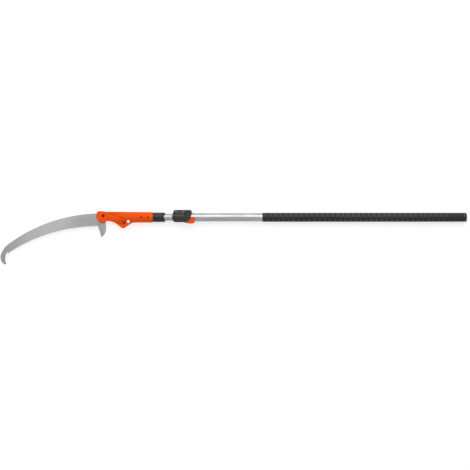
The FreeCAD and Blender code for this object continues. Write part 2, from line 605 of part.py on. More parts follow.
def make_holder_shell(label, side):
    body = new_piece(label)
    pad(body, *between("0", "head_half", side), draw_outline, [body_outline()])
    outer = "head_half" if side > 0 else "-head_half"
    round_edges(body, "head_round", on_height(outer))
    pad(body, *between("0", "ear_half", side), draw_outline, [holder_outline()])
    # the round socket and the neck that it tapers into
    turn(body, [(f"-{NECK_END}", "0"), ("-socket_near", "0"), ("-socket_near", SOCKET_R),
                ("-neck_start", SOCKET_R, NECK_SWEEP), (f"-{NECK_END}", "head_half")],
         angle=180.0, flip=side < 0)
    ring(body, "socket_near - 1", "socket_deep", "0", INNER_R, "Groove")
    cut(body, "-blade_thick / 2 - blade_gap", "blade_thick / 2 + blade_gap", draw_outline, [slot_outline()])
    both = (f"-{SOCKET_R} - 1", f"{SOCKET_R} + 1")
    cut(body, *both, draw_circle, ("-hang_x", "-hang_y", "hang_r"))
    cut(body, *both, draw_circle, ("-head_x", "head_y", "bolt_r"), ("-lug_x", "-lug_y", "lug_screw_r"))
    cut(body, *both, draw_circle, ("-rivet_near", "0", "rivet_r"), ("-rivet_far", "0", "rivet_r"))
    above = f"{SOCKET_R} + 1"
    cut(body, *between("ear_half", above, side), draw_circle, ("-hang_x", "-hang_y", "hang_r + hang_land"))
    cut(body, *between("head_half - bolt_sink", above, side), draw_circle,
        ("-head_x", "head_y", "bolt_nut_flats / sqrt(3) + recess_gap"))
    cut(body, *between("ear_half - lug_sink", above, side), draw_circle,
        ("-lug_x", "-lug_y", "lug_nut_flats / sqrt(3) + recess_gap"))
    cut(body, *between(RIVET_TOP, above, side), draw_circle,
        ("-rivet_near", "0", "rivet_head_r"), ("-rivet_far", "0", "rivet_head_r"))


def make_holder_fasteners():
    head = [("-head_x", "head_y")]
    seat = "(head_half - bolt_sink)"
    make_screw("head_bolt", head, "bolt_r", "bolt_head_r", "bolt_head_h", f"{seat} + washer_h",
               f"2 * ({seat} + washer_h) + bolt_nut_h - 0.2", "head_key")
    make_nut("head_nut", head, "bolt_r", "bolt_nut_flats", f"-{seat} - washer_h", "bolt_nut_h")
    washers = new_piece("head_washers")
    pad(washers, seat, f"{seat} + washer_h", draw_circle, ("-head_x", "head_y", "bolt_head_r"))
    pad(washers, f"-{seat} - washer_h", f"-{seat}", draw_circle, ("-head_x", "head_y", "bolt_head_r"))
    cut(washers, "-head_half", "head_half", draw_circle, ("-head_x", "head_y", "bolt_r"))
    lug = [("-lug_x", "-lug_y")]
    seat = "(ear_half - lug_sink)"
    make_screw("lug_screw", lug, "lug_screw_r", "lug_head_r", "lug_head_h", seat,
               f"2 * {seat} + lug_nut_h - 0.1", "lug_key")
    make_nut("lug_nut", lug, "lug_screw_r", "lug_nut_flats", f"-{seat}", "lug_nut_h")
    rivets = new_piece("socket_rivets")
    places = [("-rivet_near", "0"), ("-rivet_far", "0")]
    pad(rivets, f"-{RIVET_TOP}", RIVET_TOP, draw_circle, *[(x, y, "rivet_r") for x, y in places])
    for side in (1, -1):
        pad(rivets, *between(RIVET_TOP, f"{RIVET_TOP} + rivet_head_h", side), draw_circle,
            *[(x, y, "rivet_head_r") for x, y in places])


# ---------------------------------------------------------------- blade
def on_back(x):
    """Height of the blade's back at a distance from the butt face."""
    return f"(back_top - back_r + sqrt(back_r^2 - (({x}) - back_x)^2))"


def on_edge(x):
    """Height of the tooth line at a distance from the butt face."""
    return f"(-edge_top - edge_r + sqrt(edge_r^2 - (({x}) - edge_x)^2))"


def blade_outline():
    """Back, tip hook, tooth line, claw and tang, counter-clockwise from the back."""
    claw = "-back_x + 21.2"
    return [("-back_x", "back_top", "back_r"),
            ("-tip_far + 31", on_back("tip_far - 31"), "85"),
            ("-tip_far + 2.5", on_back("tip_far - 31") + " - 38", "36"),
            ("-tip_far + 11.4", on_back("tip_far - 31") + " - 76.8"),
            ("-tip_far + 18.4", on_back("tip_far - 31") + " - 80.8"),
            ("-tip_far + 25.2", on_back("tip_far - 31") + " - 78.6", "-42"),
            ("-tip_far + 19.4", on_back("tip_far - 31") + " - 54.8", "-40"),
            ("-last_tooth - 3.2", on_edge("last_tooth") + " + 6.2"),
            ("-last_tooth", on_edge("last_tooth"), "-edge_r"),
            ("-first_tooth", on_edge("first_tooth")),
            ("-first_tooth + 2.4", on_edge("first_tooth") + " + 2.8"),
            ("-back_x - 12", on_edge("first_tooth") + " + 3.6", "-150"),
            ("-back_x + 2.6", "-78.8"),
            ("-back_x + 5.4", "-77.8", "36"),
            (claw, "-50.8"),
            (claw, "-11")] + [(x, y) for x, y, dx, dy in TANG[:-1]][::-1]


def make_blade():
    body = new_piece("saw_blade")
    pad(body, "-blade_thick / 2", "blade_thick / 2", draw_outline, [blade_outline()])
    through = ("-blade_thick", "blade_thick")
    cut(body, *through, draw_circle, ("-head_x", "head_y", "bolt_r"), ("-lug_x", "-lug_y", "lug_screw_r"))
    # one gullet at the root, repeated round the centre of the edge's arc
    turn_by = "(tooth_pitch / edge_r * 1 rad)"
    start = "asin((first_tooth - edge_x) / edge_r)"
    sketch = new_sketch(body, "blade_thick")
    sketch.setExpression(".AttachmentOffset.Base.x", bound("-edge_x"))
    sketch.setExpression(".AttachmentOffset.Base.y", bound("-edge_top - edge_r"))
    corners = []
    for radius, share in (("(edge_r - 0.6)", 0.02), ("(edge_r + tooth_depth)", 0.45), ("(edge_r - 0.6)", 0.9)):
        angle = f"({start} + {share} * {turn_by})"
        corners.append((f"-{radius} * sin({angle})", f"{radius} * cos({angle})"))
    draw_outline(sketch, corners)
    gullet = body.newObject("PartDesign::Pocket", "gullet")
    gullet.Profile = sketch
    gullet.setExpression("Length", bound("2 * blade_thick"))
    doc.recompute()
    pattern = body.newObject("PartDesign::PolarPattern", "gullets")
    pattern.Originals = [gullet]
    pattern.Axis = (sketch, ["N_Axis"])
    body.Tip = pattern
    spread = value("asin((last_tooth - edge_x) / edge_r) - " + start)
    count = int(spread / value(turn_by))
    pattern.Angle = (count - 1) * value(turn_by)
    pattern.Occurrences = count
    doc.recompute()


make_outer_tube()
make_grip()
make_inner_tube()
make_glide()
make_clamp()
make_clamp_fasteners()
make_lever()
make_lever_pin()
make_brake()
make_collar()
make_holder_shell("holder_front_shell", 1)
make_holder_shell("holder_back_shell", -1)
make_holder_fasteners()
make_blade()
doc.recompute()

for item in doc.Objects:
    if "Invalid" in item.State or "Error" in item.State:
        raise ValueError(f"{item.Label} did not build: {item.State}")
for body in PIECES:
    if body.Shape.isNull() or not body.Shape.isValid():
        raise ValueError(f"{body.Label} has no valid shape")
os.makedirs("parts", exist_ok=True)
for body in PIECES:
    body.Shape.exportStep(f"parts/{body.Label}.step")
    print(body.Label, round(body.Shape.Volume), len(body.Shape.Solids))
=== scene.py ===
"""Telescoping pole saw, dressed for rendering around its CAD frame.

Shapes are worked out in millimetres in the frame's own axes: the pole runs along X
with the butt at X = 0 and the blade towards -X, the cutting edge faces -Y, and the
tool lies on its side with +Z up. MM turns them into metres when a mesh is made.
"""
import json
import math
from contextlib import contextmanager

import bmesh
import bpy
import numpy as np
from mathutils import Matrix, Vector, geometry, kdtree


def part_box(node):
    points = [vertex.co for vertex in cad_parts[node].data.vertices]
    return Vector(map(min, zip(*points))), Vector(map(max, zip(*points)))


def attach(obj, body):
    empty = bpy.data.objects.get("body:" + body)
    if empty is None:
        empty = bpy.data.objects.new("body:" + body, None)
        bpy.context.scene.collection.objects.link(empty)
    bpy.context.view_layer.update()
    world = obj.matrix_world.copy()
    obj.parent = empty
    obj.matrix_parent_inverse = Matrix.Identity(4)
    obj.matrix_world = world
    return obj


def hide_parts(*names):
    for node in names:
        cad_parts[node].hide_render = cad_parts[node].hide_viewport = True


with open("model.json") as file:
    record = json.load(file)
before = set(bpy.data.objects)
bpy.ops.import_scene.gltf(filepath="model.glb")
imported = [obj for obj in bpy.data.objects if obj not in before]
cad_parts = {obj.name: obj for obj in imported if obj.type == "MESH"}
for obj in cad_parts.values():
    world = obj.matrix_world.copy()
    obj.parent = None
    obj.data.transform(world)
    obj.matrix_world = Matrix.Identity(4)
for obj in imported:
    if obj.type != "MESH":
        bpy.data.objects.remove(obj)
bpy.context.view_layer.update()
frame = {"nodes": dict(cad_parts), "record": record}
MM = 0.001
FULL_TURN = 2 * math.pi
POLE = "outer_pole"
HEAD = "saw_head"
LEVER = "lever"


def span(node, axis):
    """Lowest and highest X, Y or Z of a CAD node, in millimetres."""
    return [corner["xyz".index(axis)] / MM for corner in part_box(node)]


def low(node, axis):
    return span(node, axis)[0]


def high(node, axis):
    return span(node, axis)[1]


def middle(node):
    """X and Y of a node's middle."""
    return sum(span(node, "x")) / 2, sum(span(node, "y")) / 2


def mount(name):
    """A mount's position in millimetres."""
    found = [m for m in frame["record"]["mounts"] if m["name"] == name][0]
    return [number / MM for number in found["pos_m"]]


# ------------------------------------------------------------- places from the frame
TUBE_R = high("outer_tube", "y")
INNER_R = high("inner_tube", "y")
GRIP_R = high("grip_sleeve", "y")
GRIP_LEFT, GRIP_RIGHT = span("grip_sleeve", "x")
SOCKET_R = high("holder_front_shell", "z")
SOCKET_MOUTH = high("holder_front_shell", "x")
HEAD_X, HEAD_Y = middle("head_bolt")
LUG_X, LUG_Y = middle("lug_screw")
HANG_X, HANG_Y = mount("hang_hole")[:2]
PIN_X, PIN_Y = middle("lever_pin")
CLAMP_HALF = high("clamp_front_shell", "z")
CLAMP_LEFT, CLAMP_RIGHT = span("clamp_front_shell", "x")
CLAMP_TOP = high("clamp_front_shell", "y")
COLLAR_R = high("pole_collar", "y")
BLADE_HALF = high("saw_blade", "z")
FINISH = {}


# ------------------------------------------------------------- shader nodes
def connect(tree, node, inputs):
    """Sets a node's inputs to numbers or colours, or links them to sockets."""
    for key, given in inputs.items():
        if isinstance(given, bpy.types.NodeSocket):
            tree.links.new(given, node.inputs[key])
        else:
            node.inputs[key].default_value = given


def add(tree, kind, inputs=None, **settings):
    node = tree.nodes.new("ShaderNode" + kind)
    for key, setting in settings.items():
        setattr(node, key, setting)
    connect(tree, node, inputs or {})
    return node


def new_material(slot):
    """A bare material for a slot, kept in FINISH: its node tree and its shader."""
    material = bpy.data.materials.new(slot)
    material.use_nodes = True
    tree = material.node_tree
    tree.nodes.clear()
    shader = add(tree, "BsdfPrincipled")
    add(tree, "OutputMaterial", {"Surface": shader.outputs["BSDF"]})
    FINISH[slot] = material
    return tree, shader


def maths(tree, operation, *given):
    return add(tree, "Math", dict(enumerate(given)), operation=operation).outputs[0]


def place(tree, stretch=(1, 1, 1)):
    """The point on the object, in metres, stretched along each axis."""
    coords = add(tree, "TexCoord").outputs["Object"]
    return add(tree, "Mapping", {"Vector": coords, "Scale": stretch}).outputs["Vector"]


def noise(tree, scale, detail=4.0, rough=0.55):
    """Noise from 0 to 1. Its scale is one number, or one along each axis."""
    vector, scale = (place(tree, scale), 1.0) if isinstance(scale, tuple) else (place(tree), scale)
    return add(tree, "TexNoise", {"Vector": vector, "Scale": scale, "Detail": detail,
                                  "Roughness": rough}).outputs["Fac"]


def spread(tree, given, start, finish, to_low=0.0, to_high=1.0):
    """Maps start..finish to to_low..to_high, smoothly and within those limits."""
    return add(tree, "MapRange", {"Value": given, "From Min": start, "From Max": finish,
                                  "To Min": to_low, "To Max": to_high},
               interpolation_type="SMOOTHSTEP").outputs["Result"]


def drift(tree, cloud, to_low, to_high):
    """A number that wanders between two with a noise."""
    return spread(tree, cloud, 0.3, 0.7, to_low, to_high)


def blend(tree, share, first, second):
    """Mixes in this share of the second colour. A colour is three numbers or a socket."""
    colours = [c if isinstance(c, bpy.types.NodeSocket) else (*c, 1.0) for c in (first, second)]
    return add(tree, "Mix", {0: share, 6: colours[0], 7: colours[1]}, data_type="RGBA").outputs[2]


def clouded(tree, cloud, dark, light):
    """A colour that wanders between two with a noise."""
    return blend(tree, drift(tree, cloud, 0.0, 1.0), dark, light)


def layered(tree, first, second, share):
    """Two reliefs over one another, the first with this share of the height."""
    return maths(tree, "ADD", maths(tree, "MULTIPLY", first, share),
                 maths(tree, "MULTIPLY", second, 1 - share))


def pointed(tree, start, finish, to_high):
    """Up to to_high where edges are as convex or as hollow as finish, 0 up to start."""
    point = add(tree, "NewGeometry").outputs["Pointiness"]
    return spread(tree, point, start, finish, 0.0, to_high)


def coat(tree, shader, tone, rough, relief, depth_mm, strength, **others):
    """Gives the shader its colour, roughness and surface relief, and other inputs."""
    bump = add(tree, "Bump", {"Height": relief, "Strength": strength, "Distance": depth_mm * MM})
    connect(tree, shader, {"Base Color": tone, "Roughness": rough, "Normal": bump.outputs["Normal"]})
    connect(tree, shader, {key.replace("_", " "): number for key, number in others.items()})


def make_aluminium():
    """Drawn tube: fine lengthwise die lines, cloudy oxide and a few handling scratches."""
    tree, shader = new_material("aluminium_tube")
    lines = noise(tree, (4, 900, 900), 5.0, 0.6)
    fine = noise(tree, (30, 4200, 4200), 3.0)
    cloud = noise(tree, (14, 60, 60), 3.0)
    scratch = spread(tree, noise(tree, (9, 1500, 1500), 2.0), 0.68, 0.74, 0.0, 0.35)
    tone = clouded(tree, cloud, (0.45, 0.46, 0.475), (0.55, 0.555, 0.565))
    tone = blend(tree, scratch, tone, (0.66, 0.66, 0.67))
    rough = maths(tree, "ADD", drift(tree, lines, 0.24, 0.36), drift(tree, cloud, 0.0, 0.07))
    coat(tree, shader, tone, rough, layered(tree, lines, fine, 0.6), 0.05, 0.35, Metallic=1.0)


def make_steel():
    """Ground saw steel: marks across the blade, rust specks and a lighter band over the blade's middle."""
    tree, shader = new_material("blade_steel")
    marks = noise(tree, (1300, 26, 26), 4.0, 0.6)
    fine = noise(tree, (4200, 90, 90), 2.0)
    cloud = noise(tree, (9, 14, 14), 3.0)
    along = add(tree, "SeparateXYZ", {"Vector": place(tree)}).outputs["X"]
    # lighter over the middle of the blade, darker towards the holder and towards the hook
    ground = maths(tree, "MULTIPLY", spread(tree, along, -1.5, -1.62),
                   spread(tree, along, -1.83, -1.72, 0.0, 0.75))
    specks = spread(tree, noise(tree, (210, 210, 210), 3.0), 0.7, 0.8, 0.0, 0.35)
    tone = blend(tree, spread(tree, cloud, 0.32, 0.68), (0.37, 0.372, 0.36), (0.45, 0.45, 0.437))
    tone = blend(tree, ground, tone, (0.6, 0.6, 0.585))
    tone = blend(tree, spread(tree, marks, 0.3, 0.75, 0.0, 0.3), tone, (0.55, 0.55, 0.535))
    tone = blend(tree, specks, tone, (0.2, 0.17, 0.14))
    rough = maths(tree, "ADD", drift(tree, marks, 0.34, 0.46), drift(tree, cloud, 0.0, 0.1))
    coat(tree, shader, tone, rough, layered(tree, marks, fine, 0.7), 0.04, 0.3, Metallic=1.0)


def make_orange():
    """Glass-filled nylon: spark texture, flow marks, rubbed patches and painted shade in hollow corners."""
    tree, shader = new_material("orange_plastic")
    grain = noise(tree, 1500.0, 3.0, 0.6)
    flow = noise(tree, (18, 46, 46))
    rubbed = spread(tree, noise(tree, (25, 160, 160)), 0.6, 0.75, 0.0, 0.2)
    tone = clouded(tree, flow, (0.84, 0.074, 0.001), (0.94, 0.098, 0.001))
    tone = blend(tree, spread(tree, grain, 0.35, 0.75, 0.0, 0.16), tone, (0.93, 0.14, 0.003))
    tone = blend(tree, rubbed, tone, (1.0, 0.17, 0.02))
    # painted shade: the orange turns dark red in hollow corners and creases, where shade would fall
    tone = blend(tree, pointed(tree, 0.49, 0.42, 0.55), tone, (0.3, 0.02, 0.002))
    scuff = spread(tree, noise(tree, (60, 700, 300), 2.0), 0.66, 0.72, 0.0, 0.5)
    relief = maths(tree, "SUBTRACT", grain, scuff)
    coat(tree, shader, tone, drift(tree, flow, 0.36, 0.47), relief, 0.08, 0.4, Specular_IOR_Level=0.08)


def make_plastic(slot, dark, light, rough, grain_scale, depth_mm, wear=(0.3, 0.3, 0.31)):
    """Moulded plastic: spark-eroded grain, slight mottling, rubbed patches."""
    tree, shader = new_material(slot)
    grain = noise(tree, grain_scale, 4.0, 0.62)
    cloud = noise(tree, (28, 28, 28))
    rubbed = spread(tree, noise(tree, (40, 240, 240)), 0.62, 0.78, 0.0, 0.12)
    tone = clouded(tree, cloud, dark, light)
    tone = blend(tree, spread(tree, grain, 0.4, 0.75, 0.0, 0.25), tone, [2.0 * c for c in light])
    tone = blend(tree, rubbed, tone, wear)
    coat(tree, shader, tone, drift(tree, cloud, rough, rough + 0.12), grain, depth_mm, 0.5)


def make_grip_rubber():
    """Shrunk rubber sleeve: the raised net is paler than the ground between, partly rubbed wear and partly
    painted highlight.
    """
    tree, shader = new_material("grip_rubber")
    raised = add(tree, "Attribute", attribute_name="raised").outputs["Fac"]
    grain = noise(tree, 2300.0, 3.0, 0.6)
    weave = noise(tree, (340, 900, 900), 3.0)
    cloud = noise(tree, (8, 30, 30))
    ground = clouded(tree, cloud, (0.007, 0.0078, 0.0083), (0.013, 0.0142, 0.0148))
    # paler crest colour: partly rubbed wear, partly a painted highlight where the raised net catches the
    # light
    crest = clouded(tree, cloud, (0.046, 0.049, 0.05), (0.07, 0.073, 0.075))
    rubbed = maths(tree, "MULTIPLY", raised, spread(tree, weave, 0.25, 0.7, 0.55, 1.0))
    tone = blend(tree, rubbed, ground, crest)
    tone = blend(tree, spread(tree, grain, 0.55, 0.8, 0.0, 0.25), tone, (0.11, 0.11, 0.112))
    rough = spread(tree, raised, 0.0, 1.0, 0.6, 0.34)
    coat(tree, shader, tone, rough, layered(tree, weave, grain, 0.5), 0.1, 0.6, Specular_IOR_Level=0.4)


def make_zinc():
    """Zinc-plated fasteners with a crystalline bloom."""
    tree, shader = new_material("zinc_steel")
    cells = add(tree, "TexVoronoi", {"Vector": place(tree), "Scale": 900.0}).outputs["Distance"]
    cloud = noise(tree, 260.0)
    tone = clouded(tree, cloud, (0.4, 0.4, 0.39), (0.6, 0.59, 0.56))
    tone = blend(tree, spread(tree, cells, 0.1, 0.7, 0.0, 0.3), tone, (0.3, 0.31, 0.33))
    coat(tree, shader, tone, drift(tree, cloud, 0.3, 0.5), cells, 0.03, 0.3, Metallic=1.0)


def make_black_steel():
    """Blackened and oiled fasteners, rubbed bright at the corners of the sockets."""
    tree, shader = new_material("black_steel")
    cloud = noise(tree, 420.0)
    tone = clouded(tree, cloud, (0.018, 0.014, 0.012), (0.045, 0.037, 0.032))
    tone = blend(tree, pointed(tree, 0.52, 0.6, 0.5), tone, (0.2, 0.18, 0.16))
    coat(tree, shader, tone, drift(tree, cloud, 0.32, 0.5), cloud, 0.03, 0.4, Metallic=0.75)


make_aluminium()
make_steel()
make_orange()
make_plastic("grey_plastic", (0.0125, 0.013, 0.0148), (0.021, 0.0215, 0.024), 0.3, 1300.0, 0.09)
make_plastic("black_plastic", (0.0055, 0.0062, 0.0068), (0.0095, 0.0103, 0.011), 0.33, 1500.0, 0.08,
             (0.14, 0.14, 0.145))
make_plastic("white_plastic", (0.68, 0.67, 0.62), (0.78, 0.77, 0.72), 0.3, 1700.0, 0.04, (0.85, 0.84, 0.8))
make_plastic("pad_rubber", (0.03, 0.02, 0.015), (0.06, 0.045, 0.035), 0.6, 1900.0, 0.12)
make_grip_rubber()
make_zinc()
make_black_steel()


# ------------------------------------------------------------- making pieces
CREASE = 32.0
THROUGH = 40.0


def add_object(name, data):
    made = bpy.data.objects.new(name, data)
    bpy.context.scene.collection.objects.link(made)
    return made


def new_mesh(name, points, faces):
    """A mesh from points in millimetres."""
    mesh = bpy.data.meshes.new(name)
    mesh.from_pydata([(x * MM, y * MM, z * MM) for x, y, z in points], [], faces)
    return mesh


@contextmanager
def editing(mesh):
    """The mesh opened for editing, and written back at the end."""
    edited = bmesh.new()
    edited.from_mesh(mesh)
    yield edited
    edited.to_mesh(mesh)
    edited.free()


def face_outwards(edited):
    bmesh.ops.recalc_face_normals(edited, faces=edited.faces)


def weld(mesh):
    """Merges the points that share a place."""
    with editing(mesh) as edited:
        bmesh.ops.remove_doubles(edited, verts=edited.verts, dist=1e-7)
        face_outwards(edited)


def shade(mesh, crease=CREASE):
    """Smooth shading, except across edges that turn more than the crease angle."""
    mesh.shade_smooth()
    mesh.set_sharp_from_angle(angle=math.radians(crease))


def add_piece(name, points, faces, slot, body, node, crease=CREASE):
    """A piece from points in millimetres that stands for a CAD node."""
    mesh = new_mesh(name, points, faces)
    mesh.validate()
    with editing(mesh) as edited:
        face_outwards(edited)
    shade(mesh, crease)
    mesh.materials.append(FINISH[slot])
    piece = add_object(name, mesh)
    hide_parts(node)
    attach(piece, body)
    return piece


def arc_points(start, finish, radius, step):
    """Points after start, up to and including finish, on the arc between them. The
    centre is on the left of the way for a positive radius, on the right otherwise."""
    chord = finish - start
    reach = math.sqrt(max(radius ** 2 - (chord.length / 2) ** 2, 0.0))
    left = Vector((-chord.y, chord.x)).normalized()
    centre = (start + finish) / 2 + left * math.copysign(reach, radius)
    first = math.atan2(start.y - centre.y, start.x - centre.x)
    turn = 2 * math.asin(min(1.0, chord.length / 2 / abs(radius))) * math.copysign(1, radius)
    count = max(2, math.ceil(abs(turn * radius) / step))
    angles = (first + turn * k / count for k in range(1, count + 1))
    return [centre + Vector((math.cos(angle), math.sin(angle))) * abs(radius) for angle in angles]


def path(corners, step=1.0):
    """An open line as evenly spaced points. A corner is (x, y), or (x, y, radius) where
    the edge that leaves it is an arc."""
    points = [Vector(corners[0][:2])]
    for corner, following in zip(corners, corners[1:]):
        start, finish = Vector(corner[:2]), Vector(following[:2])
        if len(corner) == 3:
            points.extend(arc_points(start, finish, corner[2], step))
            continue
        count = max(1, math.ceil((finish - start).length / step))
        points.extend(start.lerp(finish, k / count) for k in range(1, count + 1))
    return points


def trace(corners, step=1.0):
    """The same, closed."""
    return path(list(corners) + [corners[0][:2]], step)[1:]


def soften(points, passes):
    """Rounds the corners of a closed outline by averaging neighbours."""
    for _ in range(passes):
        points = [points[k - 1] * 0.25 + points[k] * 0.5 + points[(k + 1) % len(points)] * 0.25
                  for k in range(len(points))]
    return points


def around(x, y, corners):
    """Corners as (dx, dy) or (dx, dy, radius) from a point."""
    return [(x + corner[0], y + corner[1], *corner[2:]) for corner in corners]


def rectangle(left, right, bottom, top):
    return [(left, bottom), (right, bottom), (right, top), (left, top)]


TINY = 1e-12
BATCH = 1500


def distances(points, outline, closed=True):
    """Distance from each point to the outline, negative outside it. An open line has
    no inside, and its distances are all positive."""
    starts = np.array([tuple(p[:2]) for p in outline], float)
    ends = np.roll(starts, -1, axis=0)
    if not closed:
        starts, ends = starts[:-1], ends[:-1]
    along = ends - starts
    rise = np.where(np.abs(along[:, 1]) < TINY, TINY, along[:, 1])
    found = []
    for first in range(0, len(points), BATCH):
        places = np.array([tuple(p[:2]) for p in points[first:first + BATCH]], float)[:, None, :]
        share = ((places - starts) * along).sum(2) / np.maximum((along ** 2).sum(1), TINY)
        nearest = starts + along * np.clip(share, 0, 1)[..., None]
        gap = np.sqrt(((places - nearest) ** 2).sum(2)).min(1)
        if closed:
            x, y = places[..., 0], places[..., 1]
            above = (starts[:, 1] > y) != (ends[:, 1] > y)
            crossing = x < starts[:, 0] + (y - starts[:, 1]) * along[:, 0] / rise
            gap = np.where((above & crossing).sum(1) % 2 == 1, gap, -gap)
        found.append(gap)
    return np.concatenate(found)


EDGE_RINGS = (0.08, 0.3, 0.7, 1.3, 2.1, 3.1, 4.3, 5.8)
SEAM = 0.25


def inward_ways(outline):
    """The way into the outline's inside at each of its points."""
    count = len(outline)
    area = sum(outline[k - 1].x * outline[k].y - outline[k].x * outline[k - 1].y for k in range(count))
    ways = []
    for k in range(count):
        along = (outline[(k + 1) % count] - outline[k - 1]).normalized()
        ways.append(Vector((-along.y, along.x)) * math.copysign(1, area))
    return ways


def surface(outline, step, rings=EDGE_RINGS, extra=()):
    """Points over an outline's inside, the outline's own first, their distances inside
    it, and the triangles between them. Points crowd along the rim and along the lines
    in extra, where the height changes fastest."""
    ways = inward_ways(outline)
    wanted = []
    for gap in rings:
        ring = [p + way * gap for p, way in zip(outline, ways)][::1 if gap < 2 else 2]
        inside = distances(ring, outline)
        wanted.extend(p for p, d in zip(ring, inside) if d > gap * 0.93)
    lines = [p for line in extra for p in line]
    if lines:
        wanted.extend(p for p, d in zip(lines, distances(lines, outline)) if d > min(step, 1.0) * 0.3)
    xs, ys = [p.x for p in outline], [p.y for p in outline]
    grid = [Vector((x, y)) for x in np.arange(min(xs), max(xs), step)
            for y in np.arange(min(ys), max(ys), step)]
    deep = distances(grid, outline)
    near = np.zeros(len(grid), bool)
    if lines:
        tree = kdtree.KDTree(len(lines))
        for index, point in enumerate(lines):
            tree.insert((point.x, point.y, 0), index)
        tree.balance()
        near = np.array([tree.find((p.x, p.y, 0))[2] < step * 0.5 for p in grid])
    wanted.extend(p for p, d, close in zip(grid, deep, near) if d > rings[-1] + step * 0.4 and not close)
    count = len(outline)
    loop = list(range(count))
    flat, _, faces, _, _, _ = geometry.delaunay_2d_cdt(outline + wanted, [], [loop], 1, 1e-4)
    depth = np.maximum(distances(flat, outline), 0)
    depth[:count] = 0.0
    return flat, depth, [tuple(face) for face in faces]


def over(points, depth, height):
    """height(x, y, depth) at every point, as arrays."""
    return height(np.array([p.x for p in points]), np.array([p.y for p in points]), depth)


def moulding(name, outline, height, side, slot, body, node, step, extra=(), crease=CREASE):
    """One half of a moulded housing, which meets the other on Z = 0. Its rim follows
    the outline, and height says how far it stands above the parting plane. side is 1
    for the upper half and -1 for the lower."""
    flat, depth, faces = surface(outline, step, extra=extra)
    rise = np.maximum(over(flat, depth, height), SEAM + 0.05)
    count, total = len(outline), len(flat)
    base = total + count
    points = [(p.x, p.y, side * z) for p, z in zip(flat, rise)]
    points += [(p.x, p.y, side * SEAM) for p in outline]
    points += [(p.x + way.x * SEAM, p.y + way.y * SEAM, 0.0) for p, way in zip(outline, inward_ways(outline))]
    shell = list(faces)
    shell.append(tuple(range(base, base + count)))
    for k in range(count):
        after = (k + 1) % count
        shell.append((after, k, total + k, total + after))
        shell.append((total + after, total + k, base + k, base + after))
    return add_piece(name, points, shell, slot, body, node, crease)



def slab(name, outline, height, slot, body, node, step, rings=EDGE_RINGS, crease=CREASE, below=None,
         extra=()):
    """A one-piece part with the same outline above and below Z = 0."""
    flat, depth, faces = surface(outline, step, rings, extra)
    top, bottom = over(flat, depth, height), over(flat, depth, below or height)
    count, total = len(outline), len(flat)
    points = [(p.x, p.y, z) for p, z in zip(flat, top)] + [(p.x, p.y, -z) for p, z in zip(flat, bottom)]
    shell = list(faces) + [tuple(total + v for v in reversed(face)) for face in faces]
    shell += [((k + 1) % count, k, total + k, total + (k + 1) % count) for k in range(count)]
    return add_piece(name, points, shell, slot, body, node, crease)


def rounded(distance, top, radius):
    """Height of a slab whose rim is rounded off."""
    inside = np.clip(radius - distance, 0, radius)
    return top - radius + np.sqrt(np.maximum(radius ** 2 - inside ** 2, 0))


def smooth_max(a, b, width):
    share = np.clip(0.5 + 0.5 * (a - b) / width, 0, 1)
    return b * (1 - share) + a * share + width * share * (1 - share)


def step_between(values, start, finish):
    share = np.clip((values - start) / (finish - start), 0, 1)
    return share * share * (3 - 2 * share)


def lathe(profile, steps=96, centre=(0.0, 0.0, 0.0), axis="x", shape=None):
    """Points and faces of a closed profile of (distance along the axis, radius) turned
    about the axis. shape(along, radius, angle) may return a changed pair."""
    points = []
    for k in range(steps):
        angle = FULL_TURN * k / steps
        for along, radius in profile:
            if shape:
                along, radius = shape(along, radius, angle)
            across, up = radius * math.cos(angle), radius * math.sin(angle)
            local = (along, across, up) if axis == "x" else (across, up, along)
            points.append(tuple(c + p for c, p in zip(centre, local)))
    count = len(profile)
    faces = []
    for k in range(steps):
        after = (k + 1) % steps
        for j in range(count):
            following = (j + 1) % count
            if profile[j][1] == 0 and profile[following][1] == 0:
                continue
            quad = [k * count + j, k * count + following, after * count + following, after * count + j]
            if profile[j][1] == 0:
                quad = quad[:3]
            elif profile[following][1] == 0:
                quad = [quad[0], quad[1], quad[3]]
            faces.append(quad)
    return points, faces


def turned(name, profile, slot, body, node, fillet=0.4, **options):
    """A turned piece, its profile's corners rounded. Points on the axis are merged."""
    piece = add_piece(name, *lathe(fillet_profile(profile, fillet), **options), slot, body, node)
    weld(piece.data)
    return piece


def fillet_profile(corners, radius, steps=3):
    """Rounds each corner of a closed profile that isn't on the axis. A corner may give
    its own radius as a third number."""
    made = []
    for index, corner in enumerate(corners):
        here = Vector(corner[:2])
        size = corner[2] if len(corner) == 3 else radius
        before = Vector(corners[index - 1][:2]) - here
        after = Vector(corners[(index + 1) % len(corners)][:2]) - here
        if here.y == 0 or size == 0:
            made.append(tuple(here))
            continue
        half = before.angle(after) / 2
        reach = min(size / max(math.tan(half), 1e-6), before.length * 0.49, after.length * 0.49)
        start = here + before.normalized() * reach
        finish = here + after.normalized() * reach
        for k in range(steps + 1):
            share = k / steps
            made.append(tuple(start.lerp(here, share).lerp(here.lerp(finish, share), share)))
    return made


def cutter(points, faces):
    mesh = new_mesh("cutter", points, faces)
    weld(mesh)
    return add_object("cutter", mesh)


def bore_tool(left, right, radius):
    """A cylinder along the pole."""
    return cutter(*lathe([(left, 0), (left, radius), (right, radius), (right, 0)]))


def round_tool(x, y, radius, bottom=-THROUGH, top=THROUGH, steps=40):
    """A cylinder along Z."""
    profile = [(bottom, 0), (bottom, radius), (top, radius), (top, 0)]
    return cutter(*lathe(profile, steps, (x, y, 0), "z"))


def prism_tool(outline, bottom, top):
    count = len(outline)
    points = [(p[0], p[1], bottom) for p in outline] + [(p[0], p[1], top) for p in outline]
    faces = [tuple(reversed(range(count))), tuple(range(count, 2 * count))]
    faces += [(k, (k + 1) % count, count + (k + 1) % count, count + k) for k in range(count)]
    return cutter(points, faces)


